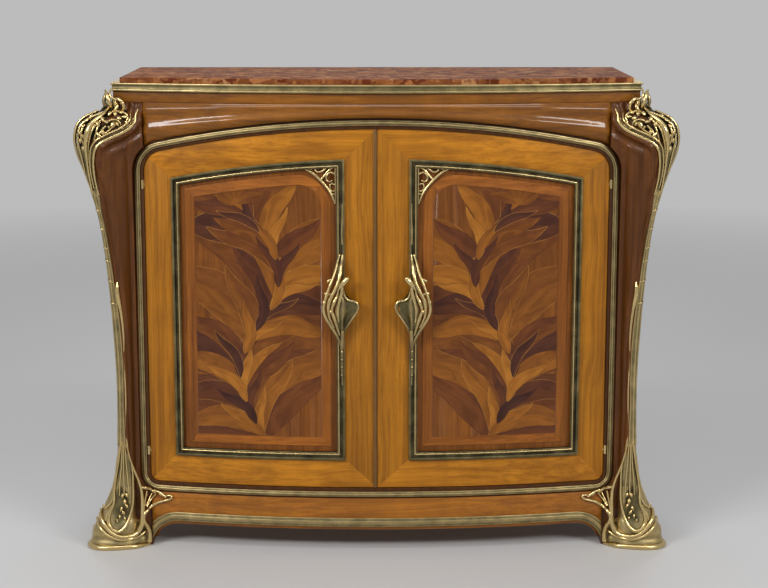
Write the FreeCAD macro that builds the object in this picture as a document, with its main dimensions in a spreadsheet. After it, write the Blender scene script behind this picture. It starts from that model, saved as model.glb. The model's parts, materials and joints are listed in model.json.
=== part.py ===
import FreeCAD, Part
import math
import os
import Sketcher
from types import SimpleNamespace

# A bow-fronted cabinet with two doors, modelled standing on z = 0 with its middle at x = y = 0.
# +X is the right hand side, -Y the front, +Z up. Millimetres.
# Most front faces are upright bows of one radius. A "stand" is how far such a face lies
# in front of the middle plane y = 0, measured on the centre line.

# How near a point or direction has to lie when an edge is picked by its place.
NEAR = 1
EXACT = 0.001

Vector = FreeCAD.Vector
Rotation = FreeCAD.Rotation
Placement = FreeCAD.Placement

SIZES = (
    ("overall_width", 1372, "over the shoulders of the front posts"),
    ("overall_height", 1112, "floor to the top of the marble"),
    ("overall_depth", 470, "handles to the back of the rear posts. Half of it is the front plane"),
    ("bow_radius", 2300, "plan radius of every bowed front face"),
    ("arch_radius", 2300, "radius of the arched edges seen from the front"),
    ("joint_gap", 0.2, "between curved or fitted faces of fixed pieces"),
    ("mount_gap", 0.4, "between a cast mount and the curved post under it"),
    ("slide_gap", 0.1, "around bolts in their channels"),
    ("overrun", 8, "how far a cut runs past what it cuts"),
    ("door_lap", 1.5, "doors past the inner faces of the front posts"),
    ("door_foot_level", 158.6, "lower edge of the doors"),
    ("door_top_drop", 113.5, "top of the doors' arch below the top of the marble"),
    ("door_setback", 42, "door faces behind the front plane"),
    ("door_thickness", 22, ""),
    ("door_top_corner", 48, "radius of the outer top corner"),
    ("door_low_corner", 20, "radius of the outer bottom corner"),
    ("door_gap", 1, "between the doors and their frame"),
    ("seam_gap", 1.2, "between the two doors"),
    ("rest_gap", 0.4, "between a closed door and the rails it shuts against"),
    ("hinge_stile_width", 72.5, ""),
    ("meeting_stile_width", 83.4, ""),
    ("bottom_rail_width", 76.4, ""),
    ("top_rail_width", 76.5, ""),
    ("mitre_share", 0.5, "how far a mitre line is carried past the door's corner"),
    ("panel_setback", 6, "panel ground behind the door face"),
    ("panel_thickness", 12, ""),
    ("field_margin", 22, "panel ground round the raised field"),
    ("field_rise", 4, "raised field over the panel ground"),
    ("field_corner", 75, "rounding of the field beside the bracket"),
    ("field_bevel", 3, "chamfer round the field"),
    ("moulding_lap", 10, "panel moulding over the stiles and rails"),
    ("moulding_width", 19, ""),
    ("moulding_base", 3, "flat of the panel moulding over the door face"),
    ("moulding_rise", 7, "outer bead of the panel moulding over the door face"),
    ("moulding_outer_bead", 6, "width"),
    ("moulding_inner_bead", 4, "width"),
    ("moulding_inner_rise", 5.2, "inner bead over the door face"),
    ("frame_stand_over", 4, "frame face over the door face"),
    ("frame_reveal", 8, "frame that shows round the doors"),
    ("frame_lip", 4.5, "frame outside the opening moulding"),
    ("jamb_top_drop", 7, "joint of jamb and head below the doors' rounded corner"),
    ("jamb_foot_rise", 11.4, "joint of jamb and sill over the doors' rounded corner"),
    ("brass_width", 12.3, "opening moulding"),
    ("brass_rise", 8, "opening moulding over its frame"),
    ("brass_step", 3, "lower reed of the opening moulding below its crest"),
    ("brass_reed", 4, "width of the lower reeds"),
    ("shoulder_reach", 83, "front corner of the post at the waist, inside the overall width"),
    ("post_width", 68, "corner of the post to its inner face"),
    ("post_depth", 73, "corner of the post to its rear face"),
    ("post_corner_setback", 11.6, "corner of the post behind a bow from the front plane"),
    ("post_joint_setback", 23.6, "post face beside the opening, likewise"),
    ("post_inner_ease", 4, "further back at the post's inner edge"),
    ("post_belly_setback", 4.6, "post face at its fullest, at the waist"),
    ("foot_flare", 62, "outward swing of the post at the floor"),
    ("side_setback", 3, "outer face of the sides inside the post's corner"),
    ("side_rail_thickness", 24, ""),
    ("side_panel_thickness", 10, ""),
    ("side_panel_setback", 6, "panel behind the face of the side rails"),
    ("side_rail_width", 70, ""),
    ("base_rail_foot", 96, "underside of the lower side and back rails"),
    ("rear_post_width", 42, "square section of the rear posts"),
    ("rear_post_chamfer", 3, ""),
    ("back_panel_thickness", 9, ""),
    ("back_rail_thickness", 24, ""),
    ("marble_thickness", 31, ""),
    ("marble_inset", 17.5, "edge of the marble inside the post's corner"),
    ("marble_setback", 20, "behind the front plane"),
    ("marble_edge", 2.5, "rounding of the top edge"),
    ("marble_back", 4, "marble and top board in front of the rear posts' backs"),
    ("cornice_lap", 5, "cornice past the post's corner"),
    ("cornice_setback", 13, ""),
    ("cornice_height", 19, "brass moulding under the marble"),
    ("cornice_reed", 5, "height of the upper and lower reeds"),
    ("cornice_cove", 4, "depth of the hollow between the reeds"),
    ("band_height", 25, "flat band under the cornice"),
    ("band_setback", 23, ""),
    ("band_thickness", 14, ""),
    ("pillow_setback", 18, "fullest part of the rounded frieze"),
    ("pillow_drop", 82, "level where the rounded frieze is fullest, below the top"),
    ("post_head_setback", 29, "post face beside the rounded frieze"),
    ("swell_radius", 130, "of the rounded faces of frieze and apron, from top to bottom"),
    ("stop_drop", 13, "frieze rail below the doors' top edge"),
    ("stop_rise", 7, "bottom board over the doors' lower edge"),
    ("rail_thickness", 22, "frieze rail"),
    ("bottom_board_thickness", 25, ""),
    ("shelf_share", 0.5, "top of the shelf, as a share of the doors' height"),
    ("shelf_thickness", 18, ""),
    ("shelf_setback", 33, "shelf behind the door faces"),
    ("shelf_gap", 0.5, "shelf and the sides"),
    ("bearer_height", 16, ""),
    ("bearer_width", 12, ""),
    ("apron_setback", 31, "fullest part of the apron"),
    ("apron_level", 98, "level where the apron is fullest"),
    ("apron_foot_level", 57, "lower edge of the apron"),
    ("apron_bend", 65, "where the lower edge starts to run down, inside the posts"),
    ("apron_brass_lift", 9, "wood below the apron moulding"),
    ("apron_brass_width", 21, ""),
    ("apron_brass_setback", 25, ""),
    ("apron_brass_step", 3, ""),
    ("hinge_offset", 4.1, "hinge axis outside the door's edge"),
    ("hinge_rise", 3, "hinge axis in front of the door face"),
    ("hinge_low_rise", 74.4, "middle of the lower hinge over the doors' lower edge"),
    ("hinge_top_drop", 21, "middle of the upper hinge below the doors' rounded corner"),
    ("knuckle_radius", 3.8, ""),
    ("knuckle_height", 7, "each of the three knuckles"),
    ("knuckle_gap", 0.2, "between knuckles"),
    ("pin_radius", 1.5, ""),
    ("pin_clearance", 0.05, ""),
    ("leaf_thickness", 1.4, ""),
    ("leaf_half_height", 30, ""),
    ("leaf_depth", 15, ""),
    ("leaf_setback", 5, "leaf plate behind the hinge axis"),
    ("leaf_neck", 2, "thickness of the neck from knuckle to plate"),
    ("knuckle_room", 1, "clear space round the knuckles"),
    ("bead_width", 7.6, "bead on the left door's meeting edge"),
    ("bead_rise", 3.5, ""),
    ("bolt_radius", 4, ""),
    ("bolt_x", 15, "bolt axis from the centre line"),
    ("bolt_depth", 11, "bolt axis behind the door face"),
    ("bolt_length", 95, ""),
    ("bolt_setback", 1.5, "bolt end inside the door's edge when drawn"),
    ("bolt_throw", 12, ""),
    ("bolt_knob_radius", 2.6, ""),
    ("bolt_knob_reach", 6, "knob behind the back of the door"),
    ("bolt_knob_share", 0.8, "place of the knob along the bolt"),
    ("lock_share", 0.515, "keyhole and lock, as a share of the doors' height"),
    ("lock_case_width", 50, ""),
    ("lock_case_height", 70, ""),
    ("lock_case_depth", 12, ""),
    ("lock_case_inset", 10, "case from the meeting edge"),
    ("lock_bolt_length", 38, ""),
    ("lock_bolt_height", 12, ""),
    ("lock_bolt_depth", 5, ""),
    ("lock_bolt_setback", 1.2, ""),
    ("lock_bolt_throw", 10, ""),
    ("keyhole_radius", 2.4, ""),
    ("keyhole_x", 50.5, "from the centre line"),
    ("handle_rise", 143, "top of the handle over the keyhole"),
    ("handle_drop", 185, "foot of the handle under the keyhole"),
    ("handle_x", 78.5, "handle stem from the centre line"),
    ("handle_swing", 36, "outer bar out from the stem"),
    ("handle_bar_radius", 6.2, ""),
    ("handle_stem_radius", 3, ""),
    ("leaf_pad_half_width", 14, "leaf pad of the handle"),
    ("leaf_pad_half_depth", 5.6, ""),
    ("leaf_pad_half_height", 38, ""),
    ("leaf_pad_bevel", 2.5, ""),
    ("leaf_pad_rise", 9, "middle of the pad over the keyhole"),
    ("leaf_pad_shift", 1.5, "middle of the pad outside the keyhole"),
    ("bracket_reach", 82, "openwork bracket along the moulding"),
    ("bracket_thickness", 5, ""),
    ("bracket_gap", 8, "between bracket and field"),
    ("mount_thickness", 7, "corner stem over the post"),
    ("mount_seat", 1.5, "edge of a mount let into the post"),
    ("stem_reach", 12, "corner stem on each side of the corner"),
    ("stem_foot_share", 0.2415, "joint of sabot and stem, as a share of the post's height"),
    ("stem_top_share", 0.805, "joint of stem and capital"),
    ("capital_top_share", 0.985, ""),
    ("capital_reach", 118, "widest spread of the capital over the front of the post"),
    ("capital_thickness", 9, ""),
    ("scroll_radius", 13, "scroll over the capital"),
    ("sabot_reach", 116, "widest spread of the sabot over the front of the post"),
    ("sabot_thickness", 24, "at the floor"),
    ("bud_share", 0.604, "tip of the bud stem"),
    ("bud_root_share", 0.8, "root of the bud stem, as a share of the sabot's height"),
    ("bud_stem_radius", 3.4, ""),
    ("mount_rib", 4, "radius of the raised rim of a mount"),
    ("arm_root", 38, "root of the sabot's side arm outside the post's inner face"),
    ("arm_reach", 88, "root to tip of the side arm"),
    ("arm_height", 108, "side arm with its root"),
    ("arm_foot", 27, "lower end of its root"),
    ("arm_rise", 3, "side arm over the apron moulding"),
)


class Size:
    """A length that carries both its value and the formula binding it to the sheet."""

    def __init__(self, value, text):
        self.value = float(value)
        self.text = text

    def __add__(self, other):
        other = as_size(other)
        return Size(self.value + other.value, "(%s + %s)" % (self.text, other.text))

    def __sub__(self, other):
        other = as_size(other)
        return Size(self.value - other.value, "(%s - %s)" % (self.text, other.text))

    def __mul__(self, other):
        other = as_size(other)
        return Size(self.value * other.value, "(%s * %s)" % (self.text, other.text))

    def __truediv__(self, other):
        other = as_size(other)
        return Size(self.value / other.value, "(%s / %s)" % (self.text, other.text))

    def __neg__(self):
        return ZERO - self

    __rmul__ = __mul__


def as_size(number):
    return number if isinstance(number, Size) else Size(number, repr(float(number)))


def root(size):
    return Size(math.sqrt(size.value), "sqrt(%s)" % size.text)


ZERO = as_size(0)

doc = FreeCAD.newDocument("cabinet")
sheet = doc.addObject("Spreadsheet::Sheet", "sizes")
for row, (alias, number, meaning) in enumerate(SIZES, start=1):
    sheet.set("A%d" % row, meaning)
    sheet.set("B%d" % row, str(number))
    sheet.setAlias("B%d" % row, alias)
doc.recompute()
d = SimpleNamespace(**{alias: Size(sheet.get(alias), "sizes." + alias) for alias, _, _ in SIZES})

sub_parts = []


def bind(item, prop, size):
    item.setExpression(prop, as_size(size).text)


def keep(label, item):
    """Give a finished object its node name and list it for writing out."""
    item.Label = label
    sub_parts.append(item)
    return item


# Plain building blocks, each bound to the sheet.

def box(name, x_span, y_span, z_span):
    item = doc.addObject("Part::Box", name)
    for side, axis, span in (("Length", "x", x_span), ("Width", "y", y_span), ("Height", "z", z_span)):
        bind(item, side, as_size(span[1]) - span[0])
        bind(item, "Placement.Base." + axis, span[0])
    return item


def upright(name, x, y, radius, z_span):
    """An upright cylinder."""
    item = doc.addObject("Part::Cylinder", name)
    bind(item, "Radius", radius)
    bind(item, "Height", as_size(z_span[1]) - z_span[0])
    for axis, place in (("x", x), ("y", y), ("z", z_span[0])):
        bind(item, "Placement.Base." + axis, place)
    return item


def lying(name, x, z, radius, y_span):
    """A cylinder that lies from front to back."""
    item = doc.addObject("Part::Cylinder", name)
    item.Placement = Placement(Vector(), Rotation(Vector(1, 0, 0), -90))
    bind(item, "Radius", radius)
    bind(item, "Height", as_size(y_span[1]) - y_span[0])
    for axis, place in (("x", x), ("y", y_span[0]), ("z", z)):
        bind(item, "Placement.Base." + axis, place)
    return item


def boolean(kind, name, shapes):
    item = doc.addObject(kind, name)
    item.Shapes = shapes
    return item


def common(name, *shapes):
    return boolean("Part::MultiCommon", name, list(shapes))


def fuse(name, *shapes):
    return boolean("Part::MultiFuse", name, list(shapes))


def cut(name, base, tool):
    item = doc.addObject("Part::Cut", name)
    item.Base = base
    item.Tool = tool
    return item


def mirror(name, source):
    item = doc.addObject("Part::Mirroring", name)
    item.Source = source
    item.Normal = Vector(1, 0, 0)
    return item


def both_sides(name, item):
    """Keep a piece as the right one and its mirror image as the left one."""
    keep("right_" + name, item)
    keep("left_" + name, mirror("left_" + name, item))


def rounded(name, base, radius, chosen):
    """Round the edges that chosen picks by their middle point and direction."""
    doc.recompute()
    item = doc.addObject("Part::Fillet", name)
    item.Base = base
    item.Edges = [(index, radius.value, radius.value) for index in edges_of(base, chosen)]
    return item


def bevelled(name, base, size, chosen):
    doc.recompute()
    item = doc.addObject("Part::Chamfer", name)
    item.Base = base
    item.Edges = [(index, size.value, size.value) for index in edges_of(base, chosen)]
    return item


def edges_of(base, chosen):
    found = []
    for index, edge in enumerate(base.Shape.Edges, start=1):
        middle = edge.valueAt((edge.FirstParameter + edge.LastParameter) / 2)
        if chosen(middle, edge):
            found.append(index)
    if not found:
        raise ValueError("no edge chosen on " + base.Name)
    return found


def along_y(edge):
    ends = [vertex.Point for vertex in edge.Vertexes]
    return len(ends) == 2 and (ends[1] - ends[0]).cross(Vector(0, 1, 0)).Length < EXACT * edge.Length


# Sizes that follow from the driving ones. A "setback" is how far a face lies behind the front plane.

HALF_DEPTH = d.overall_depth / 2
MARBLE_FOOT = d.overall_height - d.marble_thickness
POST_TOP = MARBLE_FOOT - d.band_height


def sag(x):
    """How far the bow runs back at a distance x from the centre line."""
    return d.bow_radius - root(d.bow_radius * d.bow_radius - x * x)


d.post_corner_x = d.overall_width / 2 - d.shoulder_reach
d.post_inner = d.post_corner_x - d.post_width
d.side_face = d.post_corner_x - d.side_setback
d.door_half_width = d.post_inner + d.door_lap
d.marble_half_width = d.post_corner_x - d.marble_inset
d.cornice_half_width = d.post_corner_x + d.cornice_lap
d.apron_straight = d.post_inner - d.apron_bend
for piece in ("marble", "cornice", "band", "pillow", "post_head", "apron", "apron_brass"):
    setattr(d, piece + "_stand", HALF_DEPTH - getattr(d, piece + "_setback"))
d.door_front = HALF_DEPTH - d.door_setback
d.shelf_stand = d.door_front - d.shelf_setback
d.bolt_stand = d.door_front - d.bolt_depth
post_bow_y = HALF_DEPTH - sag(d.post_corner_x)
d.post_corner_y = post_bow_y - d.post_corner_setback
d.post_joint_y = post_bow_y - d.post_joint_setback
d.post_belly_y = post_bow_y - d.post_belly_setback
d.post_rear = d.post_corner_y - d.post_depth
d.door_crown_level = d.overall_height - d.door_top_drop
door_height = d.door_crown_level - d.door_foot_level
d.shelf_level = d.door_foot_level + door_height * d.shelf_share
d.lock_level = d.door_foot_level + door_height * d.lock_share
d.handle_top = d.lock_level + d.handle_rise
d.handle_foot = d.lock_level - d.handle_drop
d.pillow_level = d.overall_height - d.pillow_drop
d.hinge_x = d.door_half_width + d.hinge_offset
d.hinge_stand = d.door_front - sag(d.hinge_x) + d.hinge_rise
d.hinge_low_level = d.door_foot_level + d.hinge_low_rise
d.stem_foot = POST_TOP * d.stem_foot_share
d.stem_top = POST_TOP * d.stem_top_share
d.capital_top = POST_TOP * d.capital_top_share
d.bud_level = POST_TOP * d.bud_share
ALL_Y = (-HALF_DEPTH - d.overrun, HALF_DEPTH)
ALL_Z = (-d.overrun, d.overall_height + d.overrun)


# Bowed and arched blanks.

def bow(name, stand):
    """The solid behind an upright bowed face."""
    return upright(name, ZERO, d.bow_radius - stand, d.bow_radius, ALL_Z)


def bow_ring(name, front, back):
    """A bowed sheet between two stands, as wide and tall as the cabinet."""
    half = d.overall_width / 2
    block = box(name + "_block", (-half, half), (-HALF_DEPTH - d.overrun, ZERO), (ZERO, d.overall_height))
    return cut(name, common(name + "_front", block, bow(name + "_outer", front)), bow(name + "_inner", back))


def bow_y(stand, x):
    """Y of a bowed face at a distance x from the centre line."""
    return sag(x) - stand


def arch_z(crown, x):
    """Z of an arched edge at a distance x from the centre line."""
    return crown - d.arch_radius + root(d.arch_radius * d.arch_radius - x * x)


def arched_blank(name, x_span, foot, crown, corner=None, low_corner=None, y_span=ALL_Y):
    """A block with an arched top, its outer corners rounded as seen from the front."""
    arch = lying(name + "_arch", ZERO, crown - d.arch_radius, d.arch_radius, y_span)
    block = common(name, box(name + "_box", x_span, y_span, (foot, crown)), arch)
    for suffix, radius, low in (("_top", corner, False), ("_low", low_corner, True)):
        if radius is None:
            continue
        limit = abs(x_span[1].value) - NEAR

        def outer_corner(middle, edge, low=low):
            is_low = middle.z < foot.value + NEAR
            return along_y(edge) and abs(middle.x) > limit and is_low == low

        block = rounded(name + suffix, block, radius, outer_corner)
    return block


def opening_blank(name, outset, y_span=ALL_Y):
    """The doors' joint outline, set out all round by a named amount."""
    half = d.door_half_width + outset
    return arched_blank(name, (-half, half), d.door_foot_level - outset, d.door_crown_level + outset,
                        d.door_top_corner + outset, d.door_low_corner + outset, y_span)


# Levels and stands worked out from the driving sizes.

BACK_LINE = HALF_DEPTH - d.marble_back
FRAME_OUTSET = d.door_gap + d.frame_reveal + d.brass_width + d.frame_lip
FRAME_STAND = d.door_front + d.frame_stand_over
DOOR_BACK = d.door_front - d.door_thickness
STOP_STAND = DOOR_BACK - d.rest_gap
corner_level = arch_z(d.door_crown_level, d.door_half_width) - d.door_top_corner
d.frame_jamb_top = corner_level - d.jamb_top_drop
d.hinge_top_level = corner_level - d.hinge_top_drop
d.frame_jamb_foot = d.door_foot_level + d.door_low_corner + d.jamb_foot_rise
FRAME_CROWN = d.door_crown_level + FRAME_OUTSET
FRAME_FOOT = d.door_foot_level - FRAME_OUTSET
BOARD_TOP = d.door_foot_level + d.stop_rise
BOARD_FOOT = BOARD_TOP - d.bottom_board_thickness
INNER_HALF = d.post_inner - d.joint_gap
REAR_POST_FACE = HALF_DEPTH - d.rear_post_width
REAR_POST_X = d.side_face + 3 * d.joint_gap
REAR_POST_INNER = REAR_POST_X - d.rear_post_width


# Flat boards, modelled as sketches padded upwards.

def plan_body(name, corners, level, thickness, bow_stand=None):
    """A level board: straight edges between the corners, the first one bowed if a stand is given."""
    body = doc.addObject("PartDesign::Body", name)
    sketch = body.newObject("Sketcher::SketchObject", name + "_outline")
    plane = [item for item in body.Origin.OriginFeatures if item.Role == "XY_Plane"][0]
    sketch.AttachmentSupport = (plane, [""])
    sketch.MapMode = "FlatFace"
    bind(sketch, "AttachmentOffset.Base.z", level)
    outline(sketch, corners, None if bow_stand is None else d.bow_radius)
    pad = body.newObject("PartDesign::Pad", name + "_pad")
    pad.Profile = sketch
    bind(pad, "Length", thickness)
    body.Tip = pad
    return body


def dress(body, kind, name, prop, size, chosen):
    """Round or chamfer the chosen edges of a body's last feature."""
    doc.recompute()
    base = body.Tip
    numbers = edges_of(base, chosen)
    feature = body.newObject(kind, name)
    feature.Base = (base, ["Edge%d" % number for number in numbers])
    bind(feature, prop, size)
    body.Tip = feature


def outline(sketch, corners, first_radius=None):
    """Draw a closed outline. Its corners are bound to the sheet; its first edge may be an arc."""
    points = [Vector(x.value, y.value, 0) for x, y in corners]
    count = len(points)
    for index in range(count):
        start = points[index]
        end = points[(index + 1) % count]
        if index == 0 and first_radius is not None:
            half_chord = (end - start).Length / 2
            rise = first_radius.value - math.sqrt(first_radius.value ** 2 - half_chord ** 2)
            middle = (start + end) / 2 - Vector(0, rise, 0)
            sketch.addGeometry(Part.Arc(start, middle, end), False)
        else:
            sketch.addGeometry(Part.LineSegment(start, end), False)
    for index in range(count):
        sketch.addConstraint(Sketcher.Constraint("Coincident", index, 2, (index + 1) % count, 1))
    for index, corner in enumerate(corners):
        for kind, place, start in (("DistanceX", corner[0], points[index].x),
                                   ("DistanceY", corner[1], points[index].y)):
            number = sketch.addConstraint(Sketcher.Constraint(kind, -1, 1, index, 1, start))
            sketch.setExpression("Constraints[%d]" % number, place.text)
    if first_radius is not None:
        number = sketch.addConstraint(Sketcher.Constraint("Radius", 0, first_radius.value))
        sketch.setExpression("Constraints[%d]" % number, first_radius.text)


def bowed_corners(half_width, stand, back):
    """Corners of a board whose front edge is bowed."""
    front = bow_y(stand, half_width)
    return [(-half_width, front), (half_width, front), (half_width, back), (-half_width, back)]


def stepped_corners(front_half, stand, step_y, back_half, back):
    """Corners of a board that is narrower between the front posts."""
    front = bow_y(stand, front_half)
    right = [(front_half, front), (front_half, step_y), (back_half, step_y), (back_half, back)]
    left = [(-x, y) for x, y in reversed(right)]
    return [left[-1]] + right + left[:-1]


def elevation_prism(name, corners, y_span):
    """An outline seen from the front, carried through from front to back."""
    sketch = doc.addObject("Sketcher::SketchObject", name + "_outline")
    sketch.Placement = Placement(Vector(), Rotation(Vector(1, 0, 0), 90))
    bind(sketch, "Placement.Base.y", y_span[0])
    outline(sketch, corners)
    prism = doc.addObject("Part::Extrusion", name)
    prism.Base = sketch
    prism.DirMode = "Custom"
    prism.Dir = Vector(0, 1, 0)
    prism.Solid = True
    bind(prism, "LengthFwd", as_size(y_span[1]) - y_span[0])
    return prism


# Top: marble, brass cornice, band and board.

def marble_top():
    slab = plan_body("marble_slab", bowed_corners(d.marble_half_width, d.marble_stand, BACK_LINE),
                     MARBLE_FOOT, d.marble_thickness, d.marble_stand)
    top = d.overall_height.value

    def at_top(middle, edge):
        return min(vertex.Z for vertex in edge.Vertexes) > top - EXACT

    dress(slab, "PartDesign::Fillet", "marble_edge_round", "Radius", d.marble_edge, at_top)
    keep("marble_top", slab)


def wrap_slab(name, half_width, stand, z_span):
    """A slab with a bowed front that runs back along both sides."""
    y_span = (-HALF_DEPTH - d.overrun, BACK_LINE)
    return common(name, box(name + "_box", (-half_width, half_width), y_span, z_span),
                  bow(name + "_bow", stand))


def cornice_moulding():
    foot = MARBLE_FOOT
    top = foot + d.cornice_height
    hollow = d.cornice_cove
    steps = (
        ("reed_low", ZERO, foot, foot + d.cornice_reed),
        ("cove", hollow, foot + d.cornice_reed, top - d.cornice_reed),
        ("reed_top", hollow / 4, top - d.cornice_reed, top),
    )
    layers = [wrap_slab("cornice_" + name, d.cornice_half_width - back, d.cornice_stand - back, (low, high))
              for name, back, low, high in steps]
    well = wrap_slab("cornice_well", d.marble_half_width + d.joint_gap, d.marble_stand + d.joint_gap, ALL_Z)
    keep("cornice_moulding", cut("cornice", fuse("cornice_layers", *layers), well))


def frieze_band():
    outer = wrap_slab("band_outer", d.post_corner_x, d.band_stand, (POST_TOP, MARBLE_FOOT))
    half = d.post_corner_x - d.band_thickness
    stand = d.band_stand - d.band_thickness
    keep("frieze_band", cut("band", outer, wrap_slab("band_inner", half, stand, ALL_Z)))
    corners = bowed_corners(half - d.joint_gap, stand - d.joint_gap, BACK_LINE)
    keep("top_board", plan_body("top_plank", corners, POST_TOP, d.band_height, stand - d.joint_gap))


# Door frame, opening moulding, frieze and apron.

def frame_slab(name, gap, back):
    """The filled outline of the door frame, from far in front to a named stand behind."""
    blank = opening_blank(name + "_blank", FRAME_OUTSET + gap)
    return cut(name, blank, bow(name + "_back", back))


def door_frame():
    ring = bow_ring("frame_ring", FRAME_STAND, DOOR_BACK)
    outer = common("frame_plate", ring, opening_blank("frame_outline", FRAME_OUTSET))
    hoop = cut("frame_hoop", outer, opening_blank("frame_opening", d.door_gap))
    wide = (-d.overall_width / 2, d.overall_width / 2)
    right = (ZERO, d.overall_width / 2)
    hinge_rooms = []
    for spot, level in (("low", d.hinge_low_level), ("top", d.hinge_top_level)):
        reach = d.knuckle_height * 1.5 + d.knuckle_room
        hinge_rooms.append(upright("knuckle_room_" + spot, d.hinge_x, -d.hinge_stand,
                                   d.knuckle_radius + d.knuckle_room, (level - reach, level + reach)))
        hinge_rooms.append(carcass_leaf_box("leaf_room_" + spot, level, d.joint_gap))
        edge = d.door_half_width + d.door_gap
        hinge_rooms.append(neck_box("frame_neck_room_" + spot, level, (edge, edge + d.leaf_thickness),
                                    (-reach, reach), d.joint_gap))
    rooms = fuse("hinge_rooms_right", *hinge_rooms)
    bare = cut("frame_hinged", cut("frame_hinged_right", hoop, rooms), mirror("hinge_rooms_left", rooms))
    jamb = common("jamb", bare, box("jamb_zone", right, ALL_Y, (d.frame_jamb_foot, d.frame_jamb_top)))
    both_sides("door_jamb", jamb)
    hole_radius = d.bolt_radius + d.slide_gap
    head = common("head_solid", bare, box("head_zone", wide, ALL_Y, (d.frame_jamb_top, ALL_Z[1])))
    head_hole = upright("head_bolt_hole", -d.bolt_x, -d.bolt_stand, hole_radius,
                        (d.frame_jamb_top, d.door_crown_level + d.bolt_throw + d.door_gap))
    keep("door_frame_head", cut("head", head, head_hole))
    sill = common("sill_solid", bare, box("sill_zone", wide, ALL_Y, (ALL_Z[0], d.frame_jamb_foot)))
    sill_hole = upright("sill_bolt_hole", -d.bolt_x, -d.bolt_stand, hole_radius,
                        (d.door_foot_level - d.bolt_throw - d.door_gap, d.frame_jamb_foot))
    keep("door_frame_sill", cut("sill", sill, sill_hole))


def opening_moulding():
    inner = d.door_gap + d.frame_reveal
    outer = inner + d.brass_width
    crest = FRAME_STAND + d.brass_rise
    reed = crest - d.brass_step
    low = common("brass_low", bow_ring("brass_low_ring", reed, FRAME_STAND + d.joint_gap),
                 opening_blank("brass_outline", outer))
    high = common("brass_high", bow_ring("brass_high_ring", crest, FRAME_STAND + d.joint_gap),
                  opening_blank("brass_crest_outline", outer - d.brass_reed))
    sunk = cut("brass_high_hoop", high, opening_blank("brass_crest_inside", inner + d.brass_reed))
    body = fuse("brass_both", cut("brass_hoop", low, opening_blank("brass_inside", inner)), sunk)
    keep("opening_moulding", body)


def frieze_rail():
    blank = arched_blank("rail_under", (-d.post_inner, d.post_inner), ZERO, d.door_crown_level - d.stop_drop)
    board = common("frieze_board", bow_ring("frieze_ring", STOP_STAND, STOP_STAND - d.rail_thickness),
                   box("frieze_zone", (-INNER_HALF, INNER_HALF), ALL_Y, (d.frame_jamb_top, POST_TOP)))
    keep("frieze_rail", cut("frieze_rail_shape", board, blank))


def swollen_rail(name, full_stand, level, z_span):
    """A bowed rail between the posts whose face also swells from top to bottom, fullest at a level."""
    ring = doc.addObject("Part::Torus", name + "_ring")
    bind(ring, "Radius1", d.bow_radius - d.swell_radius)
    bind(ring, "Radius2", d.swell_radius)
    bind(ring, "Placement.Base.y", d.bow_radius - full_stand)
    bind(ring, "Placement.Base.z", level)
    zone = box(name + "_zone", (-INNER_HALF, INNER_HALF), (-HALF_DEPTH, ZERO), z_span)
    return cut(name, common(name + "_front", ring, zone), bow(name + "_back", STOP_STAND + d.joint_gap))


def frieze_pillow():
    foot = arch_z(FRAME_CROWN, INNER_HALF) - d.overrun
    body = swollen_rail("pillow_board", d.pillow_stand, d.pillow_level, (foot, POST_TOP))
    under = lying("pillow_under", ZERO, FRAME_CROWN + d.joint_gap - d.arch_radius, d.arch_radius, ALL_Y)
    open_body = cut("pillow_arched", body, under)
    keep("frieze_pillow", cut("pillow", open_body, frame_slab("pillow_cutter", d.joint_gap, STOP_STAND)))


def apron_under(name, lift):
    """The space under the apron, its ends rounded down to the floor."""
    rise = d.apron_foot_level + lift
    middle = box(name + "_middle", (-d.apron_straight, d.apron_straight), ALL_Y, (-d.overrun, rise))
    ends = [lying(name + side, place, ZERO, rise, ALL_Y)
            for side, place in (("_right", d.apron_straight), ("_left", -d.apron_straight))]
    return fuse(name, middle, *ends)


def apron():
    board = swollen_rail("apron_board", d.apron_stand, d.apron_level, (ZERO, FRAME_FOOT - d.joint_gap))
    keep("apron_rail", cut("apron", board, apron_under("apron_arch", ZERO)))
    bands = []
    for name, inset, stand in (("low", ZERO, d.apron_brass_stand - d.apron_brass_step),
                               ("crest", d.apron_brass_step * 2, d.apron_brass_stand)):
        ring = bow_ring("apron_brass_ring_" + name, stand, d.apron_stand + d.joint_gap)
        outside = apron_under("apron_brass_out_" + name, d.apron_brass_lift + d.apron_brass_width - inset)
        inside = apron_under("apron_brass_in_" + name, d.apron_brass_lift + inset)
        zone = box("apron_brass_zone_" + name, (-INNER_HALF, INNER_HALF), ALL_Y,
                   (d.apron_brass_width, d.door_foot_level))
        plate = common("apron_brass_plate_" + name, ring, outside, zone)
        bands.append(cut("apron_brass_" + name, plate, inside))
    keep("apron_moulding", fuse("apron_brass", *bands))


# Front posts and the brass mounts that clothe them.

WAIST_POINTS = (
    (d.post_inner, d.post_joint_y - d.post_inner_ease),
    (d.door_half_width + FRAME_OUTSET, d.post_joint_y),
    ((d.post_corner_x * 3 + d.door_half_width) / 4, d.post_belly_y),
    (d.post_corner_x, d.post_corner_y),
    (d.post_corner_x, (d.post_corner_y + d.post_rear) / 2),
    (d.side_face, d.post_rear),
)
SHOULDER_SHARES = ((0, 0.28), (0, 0.3), (0.5, 0.46), (1, 0.36), (0.6, 0.12), (0, 0))
FOOT_SHARES = ((0, 0.12), (0, 0.16), (0.3, 0.2), (1, 0.1), (0.68, 0), (0, 0))
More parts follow.
